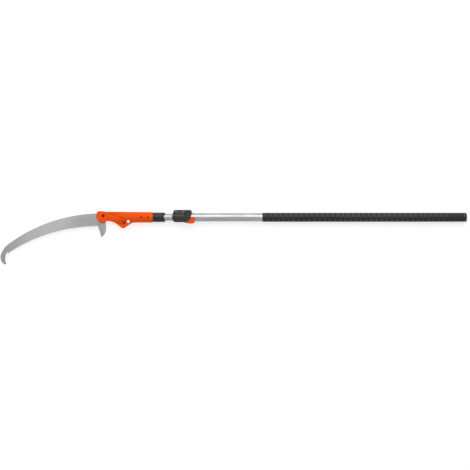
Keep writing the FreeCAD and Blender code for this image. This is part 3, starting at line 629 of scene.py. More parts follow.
def face_tool(x, y, radius, floor, side, hexagon=False):
    """A recess from outside down to a floor, round or with six sides."""
    tool = round_tool(x, y, radius, floor, steps=6 if hexagon else 48)
    if side < 0:
        for vertex in tool.data.vertices:
            vertex.co.z = -vertex.co.z
        tool.data.flip_normals()
    return tool


def carve(piece, tools, crease=CREASE):
    """Cuts the tools out of the piece, one after the other, and removes them."""
    for tool in tools:
        modifier = piece.modifiers.new("cut", "BOOLEAN")
        modifier.operation = "DIFFERENCE"
        modifier.solver = "EXACT"
        modifier.object = tool
    bpy.context.view_layer.update()
    cut = piece.evaluated_get(bpy.context.evaluated_depsgraph_get())
    result = bpy.data.meshes.new_from_object(cut)
    piece.modifiers.clear()
    piece.data = result
    for tool in tools:
        bpy.data.objects.remove(tool)
    with editing(result) as edited:
        bmesh.ops.dissolve_degenerate(edited, edges=edited.edges, dist=2e-6)
    shade(result, crease)


# ------------------------------------------------------------- tubes, grip and cap
WALL = 1.5
BRAKE_ROOM = 0.5
KEY_FROM_MOUTH = 18
KEY_R = 3


def make_tube(node, radius, body):
    left, right = span(node, "x")
    profile = [(left, radius - WALL), (left, radius), (right, radius), (right, radius - WALL)]
    return turned(node + "_drawn", profile, "aluminium_tube", body, node, fillet=0.35, steps=144)


def make_tubes():
    """The inner tube, and the outer tube with the brake's window and the bush's keyhole."""
    outer = make_tube("outer_tube", TUBE_R, POLE)
    left, right = span("brake_shoe", "x")
    half = high("brake_shoe", "z") + BRAKE_ROOM
    window = rectangle(left - BRAKE_ROOM, right + BRAKE_ROOM, -TUBE_R - 5, 0)
    carve(outer, [prism_tool(window, -half, half),
                  round_tool(low("mouth_bush", "x") + KEY_FROM_MOUTH, 0, KEY_R)])
    make_tube("inner_tube", INNER_R, HEAD)


GRIP_CELL = 0.8
GRIP_GROUND = GRIP_R - 0.25
RIDGE = 0.4
CHEVRON_PITCH = 20.7
CHEVRON_ROWS = 6
CHEVRON_FIRST = GRIP_LEFT + 11.0
CHEVRON_APEX = math.radians(33.5)
CHEVRON_LEG = 13.2
CHEVRON_SPREAD = 6.6
CHEVRON_HALF = 1.9
TAB_COUNT = 14


def chevron_net(x, angle):
    """Millimetres inside the nearest raised chevron's edge, negative between them."""
    best = np.full(x.shape, -9.0)
    for row in range(CHEVRON_ROWS):
        apex = CHEVRON_APEX - row * FULL_TURN / CHEVRON_ROWS
        down = ((apex - angle + math.pi) % FULL_TURN - math.pi) * GRIP_R
        start = CHEVRON_FIRST + (row % 2) * CHEVRON_PITCH / 2
        across = np.abs((x - start + CHEVRON_PITCH / 2) % CHEVRON_PITCH - CHEVRON_PITCH / 2)
        share = np.clip(down / CHEVRON_LEG, 0, 1)
        centre = CHEVRON_SPREAD * share ** 0.8
        slope = math.cos(math.atan(CHEVRON_SPREAD / CHEVRON_LEG))
        half = CHEVRON_HALF * (1.05 - 0.35 * share)
        leg = half - np.abs(across - centre) * slope
        end = np.minimum(down + CHEVRON_HALF, CHEVRON_LEG - down)
        best = np.maximum(best, np.minimum(leg, end))
    return best


def make_grip():
    """The shrunk sleeve: raised chevrons in staggered rows, flattened near the butt."""
    rings = round((GRIP_RIGHT - GRIP_LEFT) / GRIP_CELL)
    steps = round(FULL_TURN * GRIP_R / GRIP_CELL / TAB_COUNT) * TAB_COUNT
    along = np.linspace(GRIP_LEFT, GRIP_RIGHT, rings)
    turn = np.arange(steps) * FULL_TURN / steps
    x, angle = (grid.ravel() for grid in np.meshgrid(along, turn, indexing="ij"))
    inside = chevron_net(x, angle)
    fade = step_between(GRIP_RIGHT - x, 12, 88) * step_between(x - GRIP_LEFT, 3.0, 6.0)
    inside = inside - (1 - fade) * 1.6
    lift = step_between(inside, -0.35, 0.55) * (0.35 + 0.65 * fade)
    radius = GRIP_GROUND + RIDGE * lift
    end = np.minimum(x - GRIP_LEFT, GRIP_RIGHT - x)
    radius = np.where(end < 0.6, radius - 0.18 * (1 - end / 0.6), radius)
    tabs = step_between(np.cos(angle * TAB_COUNT), 0.55, 0.8)
    x = np.where(x > GRIP_RIGHT - 1e-6, x - 0.9 * tabs, x)
    skin = list(zip(x, radius * np.sin(angle), radius * np.cos(angle)))
    lip = TUBE_R + 0.03
    rims = [(x[ring * steps + k], lip * math.sin(turn[k]), lip * math.cos(turn[k]))
            for ring in (0, rings - 1) for k in range(steps)]
    faces = []
    for k in range(steps):
        after = (k + 1) % steps
        faces += [(r * steps + k, r * steps + after, (r + 1) * steps + after, (r + 1) * steps + k)
                  for r in range(rings - 1)]
        last, near, far = (rings - 1) * steps, rings * steps, (rings + 1) * steps
        faces.append((near + k, near + after, after, k))
        faces.append((last + k, last + after, far + after, far + k))
        faces.append((far + k, far + after, near + after, near + k))
    piece = add_piece("grip_sleeve_moulded", skin + rims, faces, "grip_rubber", POLE, "grip_sleeve", 50.0)
    raised = piece.data.attributes.new("raised", "FLOAT", "POINT")
    mask = np.concatenate([np.clip(inside, -2.0, 2.0), np.full(2 * steps, -2.0)])
    raised.data.foreach_set("value", mask.astype(np.float32))


def make_end_cap():
    """Domed cap with a shallow ring in its end, a gate mark and short ribs at its skirt."""
    left, right = span("end_cap", "x")
    bore = TUBE_R - WALL
    skirt = GRIP_R - 0.1
    lip = GRIP_RIGHT + 0.9
    angles = [math.radians(degrees) for degrees in range(80, -1, -10)]
    profile = [(left, bore - 2.5, 0.2), (GRIP_RIGHT, bore - 2.5, 0.2), (GRIP_RIGHT, 0), (right - 0.5, 0),
               (right - 0.5, 1.4, 0.2), (right - 0.05, 1.9, 0.2), (right - 0.05, 8.8, 0.3),
               (right - 0.7, 9.4, 0.2), (right - 0.7, 10.4, 0.2), (right - 0.1, 11.0, 0.3)]
    profile += [(right - 4.5 + 4.4 * math.sin(angle), skirt - 4.5 + 4.5 * math.cos(angle), 0)
                for angle in angles]
    profile += [(lip, skirt, 0.1), (lip, skirt - 0.5, 0.1), (GRIP_RIGHT, skirt - 0.5, 0.1),
                (GRIP_RIGHT, bore, 0.2), (left, bore, 0.5)]

    def ribbed(along, radius, angle):
        in_groove = GRIP_RIGHT - 0.01 < along < GRIP_RIGHT + 1.0 and radius > skirt - 0.6
        rib = math.cos(angle * TAB_COUNT) > 0.5
        return (along, skirt if in_groove and rib else radius)

    turned("end_cap_moulded", profile, "black_plastic", POLE, "end_cap", steps=TAB_COUNT * 12, shape=ribbed)


# ------------------------------------------------------------- collar
SCALLOP_HALF = 13.0
SCALLOP_R = 20.0


def make_collar():
    """Black collar: a bead and a groove at the holder's end, a fine groove further on and
    a scalloped edge at the other end."""
    left, right = span("pole_collar", "x")
    body_r = COLLAR_R - 0.25
    inner = INNER_R + 0.02
    profile = [(left, inner, 0.1), (left, COLLAR_R, 0.9), (left + 4.4, COLLAR_R, 0.6),
               (left + 4.9, body_r - 0.8, 0.3), (left + 6.6, body_r - 0.8, 0.3), (left + 7.2, body_r, 0.5),
               (right - 12, body_r, 0.2), (right - 11.4, body_r - 0.35, 0.2),
               (right - 10.6, body_r - 0.35, 0.2), (right - 10, body_r, 0.2), (right - 1.4, body_r, 0.8),
               (right, inner + 2.6, 0.8), (right, inner, 0.2)]

    def scalloped(along, radius, angle):
        across = abs(radius * math.cos(angle))
        if across < SCALLOP_HALF:
            sink = math.sqrt(SCALLOP_R ** 2 - across ** 2) - math.sqrt(SCALLOP_R ** 2 - SCALLOP_HALF ** 2)
            along -= sink * float(step_between(np.float64(along), right - 14, right))
        return (along, radius)

    turned("pole_collar_moulded", profile, "black_plastic", HEAD, "pole_collar", steps=144, shape=scalloped)


# ------------------------------------------------------------- clamp
EAR_R = 4.6
EAR_GAP = 20.1
CLAMP_BOTTOM = 19.8
CLAMP_EDGE_R = 5.2
PIN_R = 2.0
PIN_HEAD_R = 3.2
SCREW_Y = middle("clamp_screws")[1]
SCREW_XS = (low("clamp_screws", "x") + 3.0, high("clamp_screws", "x") - 3.0)
PANEL = (-1146.0, -2.5, 19.0, 13.0, 6.0)
BARREL_R = 27.0
SHELF = (-1146.5, 20.3, 18.0, 4.6, 3.5)
BOSS = (CLAMP_RIGHT - 14.6, 14.2)


def clamp_outline():
    slope, steep = math.radians(25), math.radians(60)
    corners = [(CLAMP_LEFT + 13, CLAMP_TOP), (CLAMP_RIGHT - 7.5, CLAMP_TOP, -7.5),
               (CLAMP_RIGHT, CLAMP_TOP - 7.5), (CLAMP_RIGHT, CLAMP_TOP - 12.4),
               (CLAMP_RIGHT - 3.5, CLAMP_TOP - 14), (CLAMP_RIGHT - 3.5, 1),
               (PIN_X + EAR_R * math.cos(slope), PIN_Y + EAR_R * math.sin(slope), -EAR_R),
               (PIN_X - EAR_R * math.cos(steep), PIN_Y - EAR_R * math.sin(steep)),
               (PIN_X - 3 * EAR_R, -CLAMP_BOTTOM), (CLAMP_LEFT + 13, -CLAMP_BOTTOM, -11),
               (CLAMP_LEFT + 3.4, -CLAMP_BOTTOM + 8.5), (CLAMP_LEFT, 1),
               (CLAMP_LEFT + 6.2, CLAMP_TOP - 6, -7.5)]
    return soften(trace(corners, 0.8), 3)


def inside_box(x, y, box):
    """Distance inside a rectangle with rounded corners, negative outside it."""
    centre_x, centre_y, half_x, half_y, corner = box
    dx = np.abs(x - centre_x) - (half_x - corner)
    dy = np.abs(y - centre_y) - (half_y - corner)
    outside = np.sqrt(np.maximum(dx, 0) ** 2 + np.maximum(dy, 0) ** 2)
    return corner - outside - np.minimum(np.maximum(dx, dy), 0)


def box_line(box, grow, step=0.8):
    """The rectangle's edge as points, moved outwards by grow."""
    centre_x, centre_y, half_x, half_y, corner = box
    half_x, half_y, corner = half_x + grow, half_y + grow, corner + grow
    corners = []
    for across, up in ((1, 1), (-1, 1), (-1, -1), (1, -1)):
        first = (centre_x + across * half_x, centre_y + up * (half_y - corner))
        second = (centre_x + across * (half_x - corner), centre_y + up * half_y)
        pair = [first, second] if across * up > 0 else [second, first]
        corners += [(*pair[0], corner), pair[1]]
    return trace(corners, step)



def ring_line(x, y, radius, step=0.8):
    count = max(12, round(FULL_TURN * radius / step))
    angles = [FULL_TURN * k / count for k in range(count)]
    return [Vector((x + radius * math.cos(angle), y + radius * math.sin(angle))) for angle in angles]


def clamp_body(x, y, depth):
    """How much a place belongs to the lever's thin ears, and the housing's height with
    its rim rounded, tighter round the ears."""
    ears = step_between(x, PIN_X - 10, PIN_X - 4) * step_between(-y, -6, 2)
    return ears, rounded(depth, CLAMP_HALF, CLAMP_EDGE_R - 3.7 * ears)


def clamp_height(x, y, depth):
    """A housing that bulges round the tube, with a sunk panel, a sloping shelf above it
    and a dished boss beside it."""
    ears, rise = clamp_body(x, y, depth)
    from_boss = np.hypot(x - BOSS[0], y - BOSS[1])
    sag = BARREL_R - np.sqrt(BARREL_R ** 2 - np.minimum(np.abs(y), 18.5) ** 2)
    rise = rise - sag * (1 - ears) * step_between(-y, -16.5, -12.5) * step_between(from_boss, 10.5, 15.0)
    panel = step_between(inside_box(x, y, PANEL), -0.5, 0.7)
    shelf_depth = 1.4 + 0.22 * np.clip(y - SHELF[1] + SHELF[3], 0, 9)
    shelf = step_between(inside_box(x, y, SHELF), -0.4, 0.6)
    groove = step_between(from_boss, 7.6, 8.2) * step_between(-from_boss, -9.8, -9.2)
    dish = 1.1 * step_between(-from_boss, -5.6, -2.0)
    return rise - 0.9 * panel - shelf_depth * shelf - 0.9 * groove - dish


def clamp_back_height(x, y, depth):
    """The side away from the picture: the same housing, flat, with a narrow border."""
    ears, rise = clamp_body(x, y, depth)
    border = step_between(depth, 6.4, 6.9) * step_between(-depth, -8.0, -7.5)
    return rise - 0.5 * border * (1 - ears)


def clamp_tools(side):
    """What both shells leave open: the tubes, the brake, the lever, its pin, the screws."""
    mouth = low("mouth_bush", "x")
    left, right = span("brake_shoe", "x")
    back = PIN_X - EAR_R - 2
    slot = rectangle(back, CLAMP_RIGHT + 5, PIN_Y - 8, high("lock_lever", "y") + 2)
    tools = [bore_tool(mouth, high("outer_tube", "x"), TUBE_R + 0.04),
             bore_tool(mouth - 30, mouth + 1, INNER_R + 0.3),
             bore_tool(left - 0.6, right + 0.6, TUBE_R + 0.4),
             prism_tool(slot, -EAR_GAP, EAR_GAP), round_tool(PIN_X, PIN_Y, PIN_R + 0.02),
             face_tool(PIN_X, PIN_Y, PIN_HEAD_R + 0.05, CLAMP_HALF - 0.9, side)]
    for x in SCREW_XS:
        tools.append(round_tool(x, SCREW_Y, 1.65))
        tools.append(face_tool(x, SCREW_Y, 3.4, CLAMP_HALF - 6.0, side, hexagon=side < 0))
    return tools


def make_clamp():
    outline = clamp_outline()
    lines = [box_line(PANEL, grow) for grow in (-0.7, -0.1, 0.5)]
    lines += [box_line(SHELF, grow) for grow in (-0.6, 0.4)]
    lines += [ring_line(*BOSS, radius) for radius in (2.5, 4.0, 5.6, 7.6, 8.2, 9.2, 9.8)]
    for side, word, height, step, extra in ((1, "front", clamp_height, 1.3, lines),
                                            (-1, "back", clamp_back_height, 1.5, ())):
        shell = moulding(f"clamp_{word}_moulded", outline, height, side, "grey_plastic", POLE,
                         f"clamp_{word}_shell", step, extra)
        carve(shell, clamp_tools(side))


def make_lever():
    """Flip lever: a U over the tube, thumb ribs on its end and a web that curves away."""
    end, top, half = (high("lock_lever", axis) for axis in "xyz")
    drop = PIN_Y - 5.4
    turn_r = 4.4
    corners = [(PIN_X, PIN_Y - turn_r), (PIN_X + 10, drop), (end - 12, drop, 12), (end, drop + 12),
               (end, top - 6, 6), (end - 6, top), (PIN_X + 8.5, top), (PIN_X - turn_r, PIN_Y, turn_r)]

    def height(x, y, depth):
        return rounded(depth, half, 1.7)

    lever = slab("lock_lever_moulded", soften(trace(corners, 0.6), 4), height, "orange_plastic", LEVER,
                 "lock_lever", 1.5)
    arm = half - 2.0
    hub_r = PIN_R + 0.05
    tools = [prism_tool(rectangle(PIN_X - 6, end + 1, drop + 4.0, top + 1), -arm, arm),
             prism_tool(rectangle(PIN_X - 6, PIN_X, drop - 1, PIN_Y + 1), -arm, arm),
             round_tool(PIN_X, PIN_Y, hub_r)]
    for k in range(4):
        groove = around(end - 5.5 - 3.0 * k, drop, [(-0.55, -1), (0.55, -1), (0.25, 0.7), (-0.25, 0.7)])
        tools.append(prism_tool(groove, -half + 5, half - 5))
    carve(lever, tools)
    inner, outer = half - 0.4, hub_r + 0.85
    join_mesh(lever.data, *lathe([(-inner, hub_r), (-inner, outer), (inner, outer), (inner, hub_r)], 40,
                                 (PIN_X, PIN_Y, 0), "z"))


def join_mesh(mesh, points, faces):
    """Adds more points and faces to a mesh."""
    extra = new_mesh("extra", points, faces)
    with editing(mesh) as edited:
        edited.from_mesh(extra)
        face_outwards(edited)
    bpy.data.meshes.remove(extra)
    shade(mesh)


# ------------------------------------------------------------- holder
EAR_HALF = 6.0
HEAD_HALF = 11.5
NECK_START = -1346.0
NECK_END = HEAD_X + 30
HANG_R = 6.5
HEAD_SHANK_R = 3.0
LUG_SHANK_R = 2.0
RIVET_XS = (low("socket_rivets", "x") + 3.6, high("socket_rivets", "x") - 3.6)


def holder_outline():
    corners = [(SOCKET_MOUTH, SOCKET_R), (HEAD_X + 8, SOCKET_R + 1.2)]
    corners += around(HEAD_X, HEAD_Y, [(-2, 18.7), (-15, 18.7, 10), (-25.5, 13, 60), (-26, -9, 44),
                                       (-7.3, -28.6, 14), (6.5, -23.6, -24), (20, -20.8, -62)])
    corners += around(LUG_X, LUG_Y, [(-22, -10.6), (-12, -17.6, 12.5), (6.5, -16.8)])
    corners += [(HANG_X + 9, HANG_Y - 9.6, -42), (HANG_X + 25, -SOCKET_R), (SOCKET_MOUTH, -SOCKET_R)]
    return soften(trace(corners, 1.0), 3)


def capsule(x, y, start, finish):
    """Share of the way from start to finish, and distance from the line between them."""
    along = (finish[0] - start[0], finish[1] - start[1])
    share = ((x - start[0]) * along[0] + (y - start[1]) * along[1]) / (along[0] ** 2 + along[1] ** 2)
    share = np.clip(share, 0, 1)
    return share, np.hypot(x - start[0] - share * along[0], y - start[1] - share * along[1])


def holder_height(x, y, depth):
    """The round socket and its tapering neck, the flat head, the thin lug, a ridge that
    runs down to the lug screw, and the hollow round the hanging hole."""
    drop = SOCKET_R - HEAD_HALF
    sweep = ((NECK_START - NECK_END) ** 2 + drop ** 2) / (2 * drop)
    past = np.clip(NECK_START - x, 0, NECK_START - NECK_END)
    radius = SOCKET_R - sweep + np.sqrt(sweep ** 2 - past ** 2)
    lip = np.clip(1.3 - (SOCKET_MOUTH - x), 0, 1.3)
    radius = radius - 1.3 + np.sqrt(1.3 ** 2 - lip ** 2)
    sunk = 5.5 * step_between(-x, -(NECK_END + 62), -(NECK_END - 2))
    round_part = np.sqrt(np.maximum((radius + 1.0) ** 2 - y ** 2, 0)) - 1.0 - sunk
    round_part = np.where(x > NECK_START, np.sqrt(np.maximum(radius ** 2 - y ** 2, 0)), round_part)
    head = rounded(depth, HEAD_HALF, 4.2) * step_between(-x, -(NECK_START + 6), -(NECK_START - 34))
    low_side = step_between(y, -23.5, -15.5)
    lug_zone = step_between(x, HEAD_X + 26, HEAD_X + 44)
    head = head * (1 - lug_zone * (1 - low_side))
    lug = rounded(depth, EAR_HALF, 2.4) * step_between(-x, -(HANG_X + 24), -(HANG_X + 16))
    share, aside = capsule(x, y, (HEAD_X + 24, HEAD_Y - 5), (LUG_X, LUG_Y))
    crest = HEAD_HALF + 1.8 - 4.6 * share
    ridge = crest - 2.6 * step_between(aside, 3.0, 9.5) - 9 * step_between(aside, 7.5, 13)
    ridge = np.minimum(ridge, rounded(depth, HEAD_HALF + 2, 4.2))
    rise = smooth_max(smooth_max(round_part, head, 3.0), smooth_max(lug, ridge, 1.2), 1.6)
    share, aside = capsule(x, y, (HEAD_X + 44, HEAD_Y + 1), (LUG_X + 8, LUG_Y + 11))
    valley = (1 - step_between(aside, 0.0, 6.5)) * step_between(share, 0.0, 0.45)
    rise = rise - 3.2 * valley
    from_hole = np.hypot(x - HANG_X, y - HANG_Y)
    hollow = 1 - step_between(from_hole, HANG_R + 2.4, HANG_R + 5.0)
    return rise + (np.minimum(rise, EAR_HALF) - rise) * hollow


def make_holder():
    outline = holder_outline()
    lines = [ring_line(HANG_X, HANG_Y, HANG_R + grow) for grow in (1.2, 2.4, 3.4, 4.2, 5.0)]
    tang_half = BLADE_HALF + 0.1
    for side, word in ((1, "front"), (-1, "back")):
        shell = moulding(f"holder_{word}_moulded", outline, holder_height, side, "orange_plastic", HEAD,
                         f"holder_{word}_shell", 1.0, lines, 42.0)
        tools = [bore_tool(SOCKET_MOUTH + 10, low("inner_tube", "x") - 2, INNER_R + 0.03),
                 prism_tool(tang_slot(), -tang_half, tang_half), round_tool(HANG_X, HANG_Y, HANG_R),
                 round_tool(HEAD_X, HEAD_Y, HEAD_SHANK_R + 0.05),
                 round_tool(LUG_X, LUG_Y, LUG_SHANK_R + 0.05),
                 face_tool(HEAD_X, HEAD_Y, 6.07, HEAD_HALF - 4.5, side, hexagon=side < 0),
                 face_tool(LUG_X, LUG_Y, 4.34, EAR_HALF - 2.6, side, hexagon=side < 0)]
        tools += [face_tool(x, 0, 3.65, SOCKET_R - 0.8, side) for x in RIVET_XS]
        carve(shell, tools, 42.0)


# ------------------------------------------------------------- fasteners
def hexagonal(flats):
    """A turned profile's points at radius -1 become a hexagon this far across flats."""
    def shape(along, radius, angle):
        if radius >= 0:
            return (along, radius)
        sixth = math.pi / 3
        return (along, flats / 2 / math.cos((angle + sixth / 2) % sixth - sixth / 2))
    return shape


def add_set(name, node, profile, places, slot, body, steps=72, crease=30.0, shape=None):
    """A profile turned about a line along Z at each place, all in one piece."""
    points, faces = [], []
    for x, y in places:
        more, sides = lathe(profile, steps, (x, y, 0), "z", shape)
        faces += [tuple(v + len(points) for v in side) for side in sides]
        points += more
    weld(add_piece(name, points, faces, slot, body, node, crease).data)


def make_screws(node, places, shank_r, head_r, seat, flats, slot, body):
    """Socket-headed screws: chamfered head, hexagon socket."""
    bottom, top = span(node, "z")
    deep = top - 1.7
    profile = [(bottom, 0), (bottom, shank_r - 0.4), (bottom + 0.5, shank_r), (seat, shank_r), (seat, head_r),
               (top - 0.5, head_r), (top - 0.15, head_r - 0.2), (top, head_r - 0.55), (top, flats * 0.62),
               (top - 0.2, -1), (deep, -1), (deep - 0.5, 0)]
    add_set(node + "_turned", node, profile, places, slot, body, shape=hexagonal(flats))


def make_nuts(node, places, shank_r, flats, body):
    """Hexagon nuts with chamfered corners."""
    bottom, top = span(node, "z")
    profile = [(bottom, shank_r + 0.4), (bottom + 0.3, shank_r), (top - 0.3, shank_r), (top, shank_r + 0.4),
               (top, flats * 0.49), (top - 0.35, -1), (bottom + 0.35, -1), (bottom, flats * 0.49)]
    add_set(node + "_pressed", node, profile, places, "zinc_steel", body, shape=hexagonal(flats))


def make_fasteners():
    head, lug = [(HEAD_X, HEAD_Y)], [(LUG_X, LUG_Y)]
    screws = [(x, SCREW_Y) for x in SCREW_XS]
    make_screws("head_bolt", head, HEAD_SHANK_R, 5.2, 8.0, 5.0, "black_steel", HEAD)
    make_screws("lug_screw", lug, LUG_SHANK_R, 3.5, 3.4, 3.0, "black_steel", HEAD)
    make_screws("clamp_screws", screws, 1.6, 3.0, 16.5, 2.5, "zinc_steel", POLE)
    make_nuts("head_nut", head, HEAD_SHANK_R, 10.0, HEAD)
    make_nuts("lug_nut", lug, LUG_SHANK_R, 7.0, HEAD)
    make_nuts("clamp_nuts", screws, 1.6, 5.5, POLE)


def make_rivets():
    """Two rivets through the socket, with low domed heads on both sides."""
    top = high("socket_rivets", "z")
    seat = top - 1.2
    half = [(0.0, 2.0), (seat, 2.0), (seat, 3.6), (seat + 0.3, 3.6), (seat + 0.75, 2.9), (seat + 1.05, 1.8),
            (top, 0)]
    profile = half + [(-z, r) for z, r in reversed(half[1:])]
    add_set("socket_rivets_set", "socket_rivets", profile, [(x, 0) for x in RIVET_XS], "black_steel", HEAD,
            48, 40.0)


def make_lever_pin():
    """Hollow-ended pin through the lever, and the push-on clip at its far end."""
    base, top = span("lever_pin", "z")
    seat, deep = top - 0.85, top - 2.9
    pin = [(base, 0), (base, PIN_R, 0.3), (seat, PIN_R, 0), (seat, PIN_HEAD_R, 0.15), (top, PIN_HEAD_R, 0.35),
           (top, 1.75, 0.35), (deep, 1.4, 0.2), (deep, 0)]
    base, top = span("lever_pin_clip", "z")
    clip = [(base, 2.3, 0.15), (base, 3.2, 0.25), (top, 3.2, 0.1), (top, PIN_R + 0.02, 0.1)]
    for name, node, profile in (("lever_pin_turned", "lever_pin", pin),
                                ("lever_pin_clip_pressed", "lever_pin_clip", clip)):
        turned(name, profile, "zinc_steel", POLE, node, axis="z", centre=(PIN_X, PIN_Y, 0), steps=48)


# ------------------------------------------------------------- blade
BACK = (-1464.2, 15.4, 615.25)
EDGE = (-1476.2, -37.0, 646.25)
TIP_X = -1865.0
FIRST_TOOTH = -1487.4
LAST_TOOTH = -1833.8
TOOTH_PITCH = 5.0
TOOTH_DEPTH = 3.4
TOOTH_BEVEL = 1.9
KNIFE_BEVEL = 3.4
RIM = 0.35
CLAW_X = BACK[0] + 21.2


def on_arc(arc, x):
    centre_x, top, radius = arc
    return top - radius + math.sqrt(radius ** 2 - (x - centre_x) ** 2)


TEETH_START = math.asin((EDGE[0] - FIRST_TOOTH) / EDGE[2])
TEETH_TURN = TOOTH_PITCH / EDGE[2]
TEETH = int((math.asin((EDGE[0] - LAST_TOOTH) / EDGE[2]) - TEETH_START) / TEETH_TURN)


def edge_point(pitches, outside):
    """A point by its distance along the tooth line, in pitches, and above it."""
    angle = TEETH_START + pitches * TEETH_TURN
    radius = EDGE[2] + outside
    return Vector((EDGE[0] - radius * math.sin(angle), EDGE[1] - EDGE[2] + radius * math.cos(angle)))


def tooth_line():
    """Tooth points and gullets, from the tip end to the claw end."""
    gullet = [(0.9, 0.0), (0.8, 0.22), (0.69, 0.47), (0.58, 0.72), (0.5, 0.92), (0.45, 1.0), (0.4, 0.92),
              (0.31, 0.7), (0.22, 0.47), (0.12, 0.22), (0.02, 0.0)]
    return [edge_point(tooth + along, TOOTH_DEPTH * deep)
            for tooth in reversed(range(TEETH)) for along, deep in gullet]


def tooth_middles():
    return [[edge_point(tooth + 0.96, TOOTH_DEPTH * deep) for deep in (0.2, 0.4, 0.65, 0.9, 1.15)]
            for tooth in range(TEETH)]


def tang_corners():
    return ([(BACK[0] + 34, BACK[1] - 3.4), (LUG_X - 29, 5), (LUG_X - 1, -8)]
            + around(LUG_X, LUG_Y, [(7.5, 5), (6.5, -6.5), (-2, -13), (-14, -11.6), (-31, 0)])
            + [(LUG_X - 50, -12.5)])


def tang_slot():
    gap = 0.4
    left, right, bottom, top = BACK[0] - 40, CLAW_X + gap, -60, BACK[1] + gap
    ways = [(0, 1), (0, 1), (1, 1), (1, 0), (1, 0), (0, -1), (0, -1), (0, -1), (0, -1)]
    tang = [(x + dx * gap, y + dy * gap) for (x, y), (dx, dy) in zip(tang_corners(), ways)]
    return [(BACK[0], top)] + tang + [(right, -11 - gap), (right, bottom), (left, bottom), (left, top)]


def blade_height(side, knives, teeth):
    """Half the blade's thickness as a function, for the side that is up or down: knives
    are ground sharp, and every other tooth has its facet on this side."""
    def above(x, y, depth):
        places = np.stack([x, y], 1)
        rise = BLADE_HALF - 0.14 * np.clip(1 - depth / RIM, 0, 1)
        for knife in knives:
            near = distances(places, knife, closed=False)
            rise = np.minimum(rise, BLADE_HALF - 0.62 * np.clip(1 - near / KNIFE_BEVEL, 0, 1))
        across, up = EDGE[0] - x, y - (EDGE[1] - EDGE[2])
        pitches = (np.arctan2(across, up) - TEETH_START) / TEETH_TURN + 0.55
        from_gullet = 0.5 - np.abs(pitches % 1 - 0.5)
        inside = EDGE[2] - np.hypot(across, up)
        filed = step_between(from_gullet, 0.03, 0.16) * step_between(inside, -3.3, -2.0)
        facet = 0.1 + 0.52 * filed * ((np.floor(pitches) % 2 == 0) == (side > 0))
        near = distances(places, teeth, closed=False)
        return np.minimum(rise, BLADE_HALF - facet * np.clip(1 - near / TOOTH_BEVEL, 0, 1))
    return above


def make_blade():
    """The curved blade: back, tip hook, teeth with facets on alternate sides, and the
    claw by the holder. The hook's and the claw's inner edges are ground sharp."""
    shoulder = on_arc(BACK, TIP_X + 31)
    ground = on_arc(EDGE, FIRST_TOOTH)
    last = (LAST_TOOTH, on_arc(EDGE, LAST_TOOTH))
    claw_start = (BACK[0] - 12, ground + 3.6)
    claw_point = (BACK[0] + 5.4, -77.8)
    back = path([BACK] + around(TIP_X, shoulder, [(31, 0, 85), (2.5, -38, 36), (11.4, -76.8), (18.4, -80.8),
                                                  (25.2, -78.6)]), 2.0)
    hook = path(around(TIP_X, shoulder, [(25.2, -78.6, -42), (19.4, -54.8, -40)])
                + [(last[0] + 3.2 - 6.4, last[1] + 6.2), last], 1.2)
    teeth = tooth_line()
    heel = path([(FIRST_TOOTH, ground), (FIRST_TOOTH + 2.4, ground + 2.8), claw_start], 1.2)
    claw = path([(*claw_start, -150), (BACK[0] + 2.6, -78.8), claw_point], 1.2)
    rest = path([(*claw_point, 36), (CLAW_X, -50.8), (CLAW_X, -11)] + tang_corners()[::-1] + [BACK[:2]], 2.0)
    outline = merge_points(back + hook + teeth + heel + claw + rest[:-1])
    above, below = (blade_height(side, (hook, claw), teeth) for side in (1, -1))
    blade = slab("saw_blade_ground", outline, above, "blade_steel", HEAD, "saw_blade", 14.0,
                 (RIM, 0.9, 1.9, 3.4), 12.0, below, tooth_middles())
    carve(blade, [round_tool(HEAD_X, HEAD_Y, HEAD_SHANK_R), round_tool(LUG_X, LUG_Y, LUG_SHANK_R)], 12.0)


def merge_points(points):
    """Leaves out points that sit on the one before."""
    return [p for k, p in enumerate(points) if (p - points[k - 1]).length > 0.05]


# ------------------------------------------------------------- scene
FLOOR_X = -900.0
FLOOR_HALF = 9000.0
FLOOR_GLOW = 0.7
VIEW_X = -0.9266
VIEW_Y = -0.0708


def dress_frame():
    """Procedural finish on the CAD nodes, for those that still show inside the others."""
    for part in frame["record"]["subparts"]:
        node = frame["nodes"][part["node"]]
        node.data.materials.clear()
        node.data.materials.append(FINISH[part["material_slot"]])
        shade(node.data, 30)


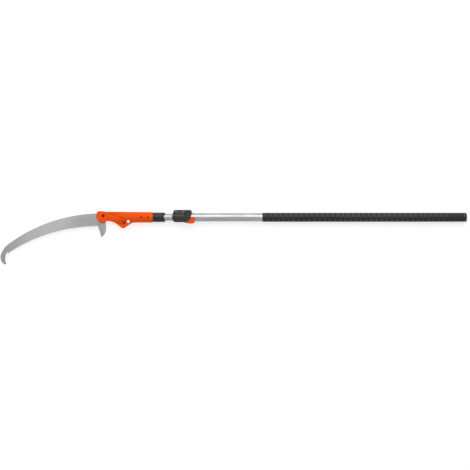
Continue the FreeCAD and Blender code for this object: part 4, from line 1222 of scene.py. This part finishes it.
def make_floor():
    corners = rectangle(FLOOR_X - FLOOR_HALF, FLOOR_X + FLOOR_HALF, -FLOOR_HALF, FLOOR_HALF)
    mesh = new_mesh("floor", [(x, y, -CLAMP_HALF - 0.2) for x, y in corners], [(0, 1, 2, 3)])
    tree, shader = new_material("pale_floor")
    cloud = noise(tree, (2, 2, 2), 2.0)
    connect(tree, shader, {
        "Base Color": blend(tree, cloud, (0.47, 0.47, 0.473), (0.48, 0.48, 0.48)),
        "Roughness": 0.9, "Specular IOR Level": 0.1, "Emission Strength": FLOOR_GLOW,
        "Emission Color": blend(tree, cloud, (0.93, 0.93, 0.935), (0.95, 0.95, 0.95))})
    mesh.materials.append(FINISH["pale_floor"])
    add_object("floor", mesh)


def add_panel(name, y, z, depth, glow):
    """A long softbox that faces the tool. glow is its brightness as seen in a mirror."""
    light = bpy.data.lights.new(name, "AREA")
    light.shape = "RECTANGLE"
    light.size, light.size_y = 4.6, depth
    light.energy = glow * 4.6 * depth * math.pi
    lamp = add_object(name, light)
    lamp.location = (VIEW_X, y, z)
    lamp.rotation_euler = Vector((0, -y, -z)).to_track_quat("-Z", "Y").to_euler()


def add_lights():
    world = bpy.data.worlds.new("studio")
    world.use_nodes = True
    tree = world.node_tree
    facing = add(tree, "SeparateXYZ", {"Vector": add(tree, "TexCoord").outputs["Generated"]}).outputs["Z"]
    tone = blend(tree, spread(tree, facing, 0.1, 0.9), (0.1, 0.1, 0.102), (0.64, 0.645, 0.65))
    connect(tree, tree.nodes["Background"], {"Color": tone})
    bpy.context.scene.world = world
    add_panel("softbox_above", 1.85, 1.85, 3.0, 1.5)
    add_panel("softbox_below", -2.3, 1.7, 0.9, 0.6)


def add_camera():
    """Straight down on the blade's plane, 4 mm to a pixel of the picture's 470."""
    camera = bpy.data.cameras.new("camera")
    camera.lens = 135.0
    camera.sensor_width = 36.0
    eye = add_object("camera", camera)
    eye.location = (VIEW_X, VIEW_Y, 7.05)
    bpy.context.scene.camera = eye
    bpy.context.scene.view_settings.view_transform = "Standard"


make_tubes()
make_grip()
make_end_cap()
make_collar()
make_clamp()
make_lever()
make_lever_pin()
make_holder()
make_fasteners()
make_rivets()
make_blade()
dress_frame()
make_floor()
add_lights()
add_camera()
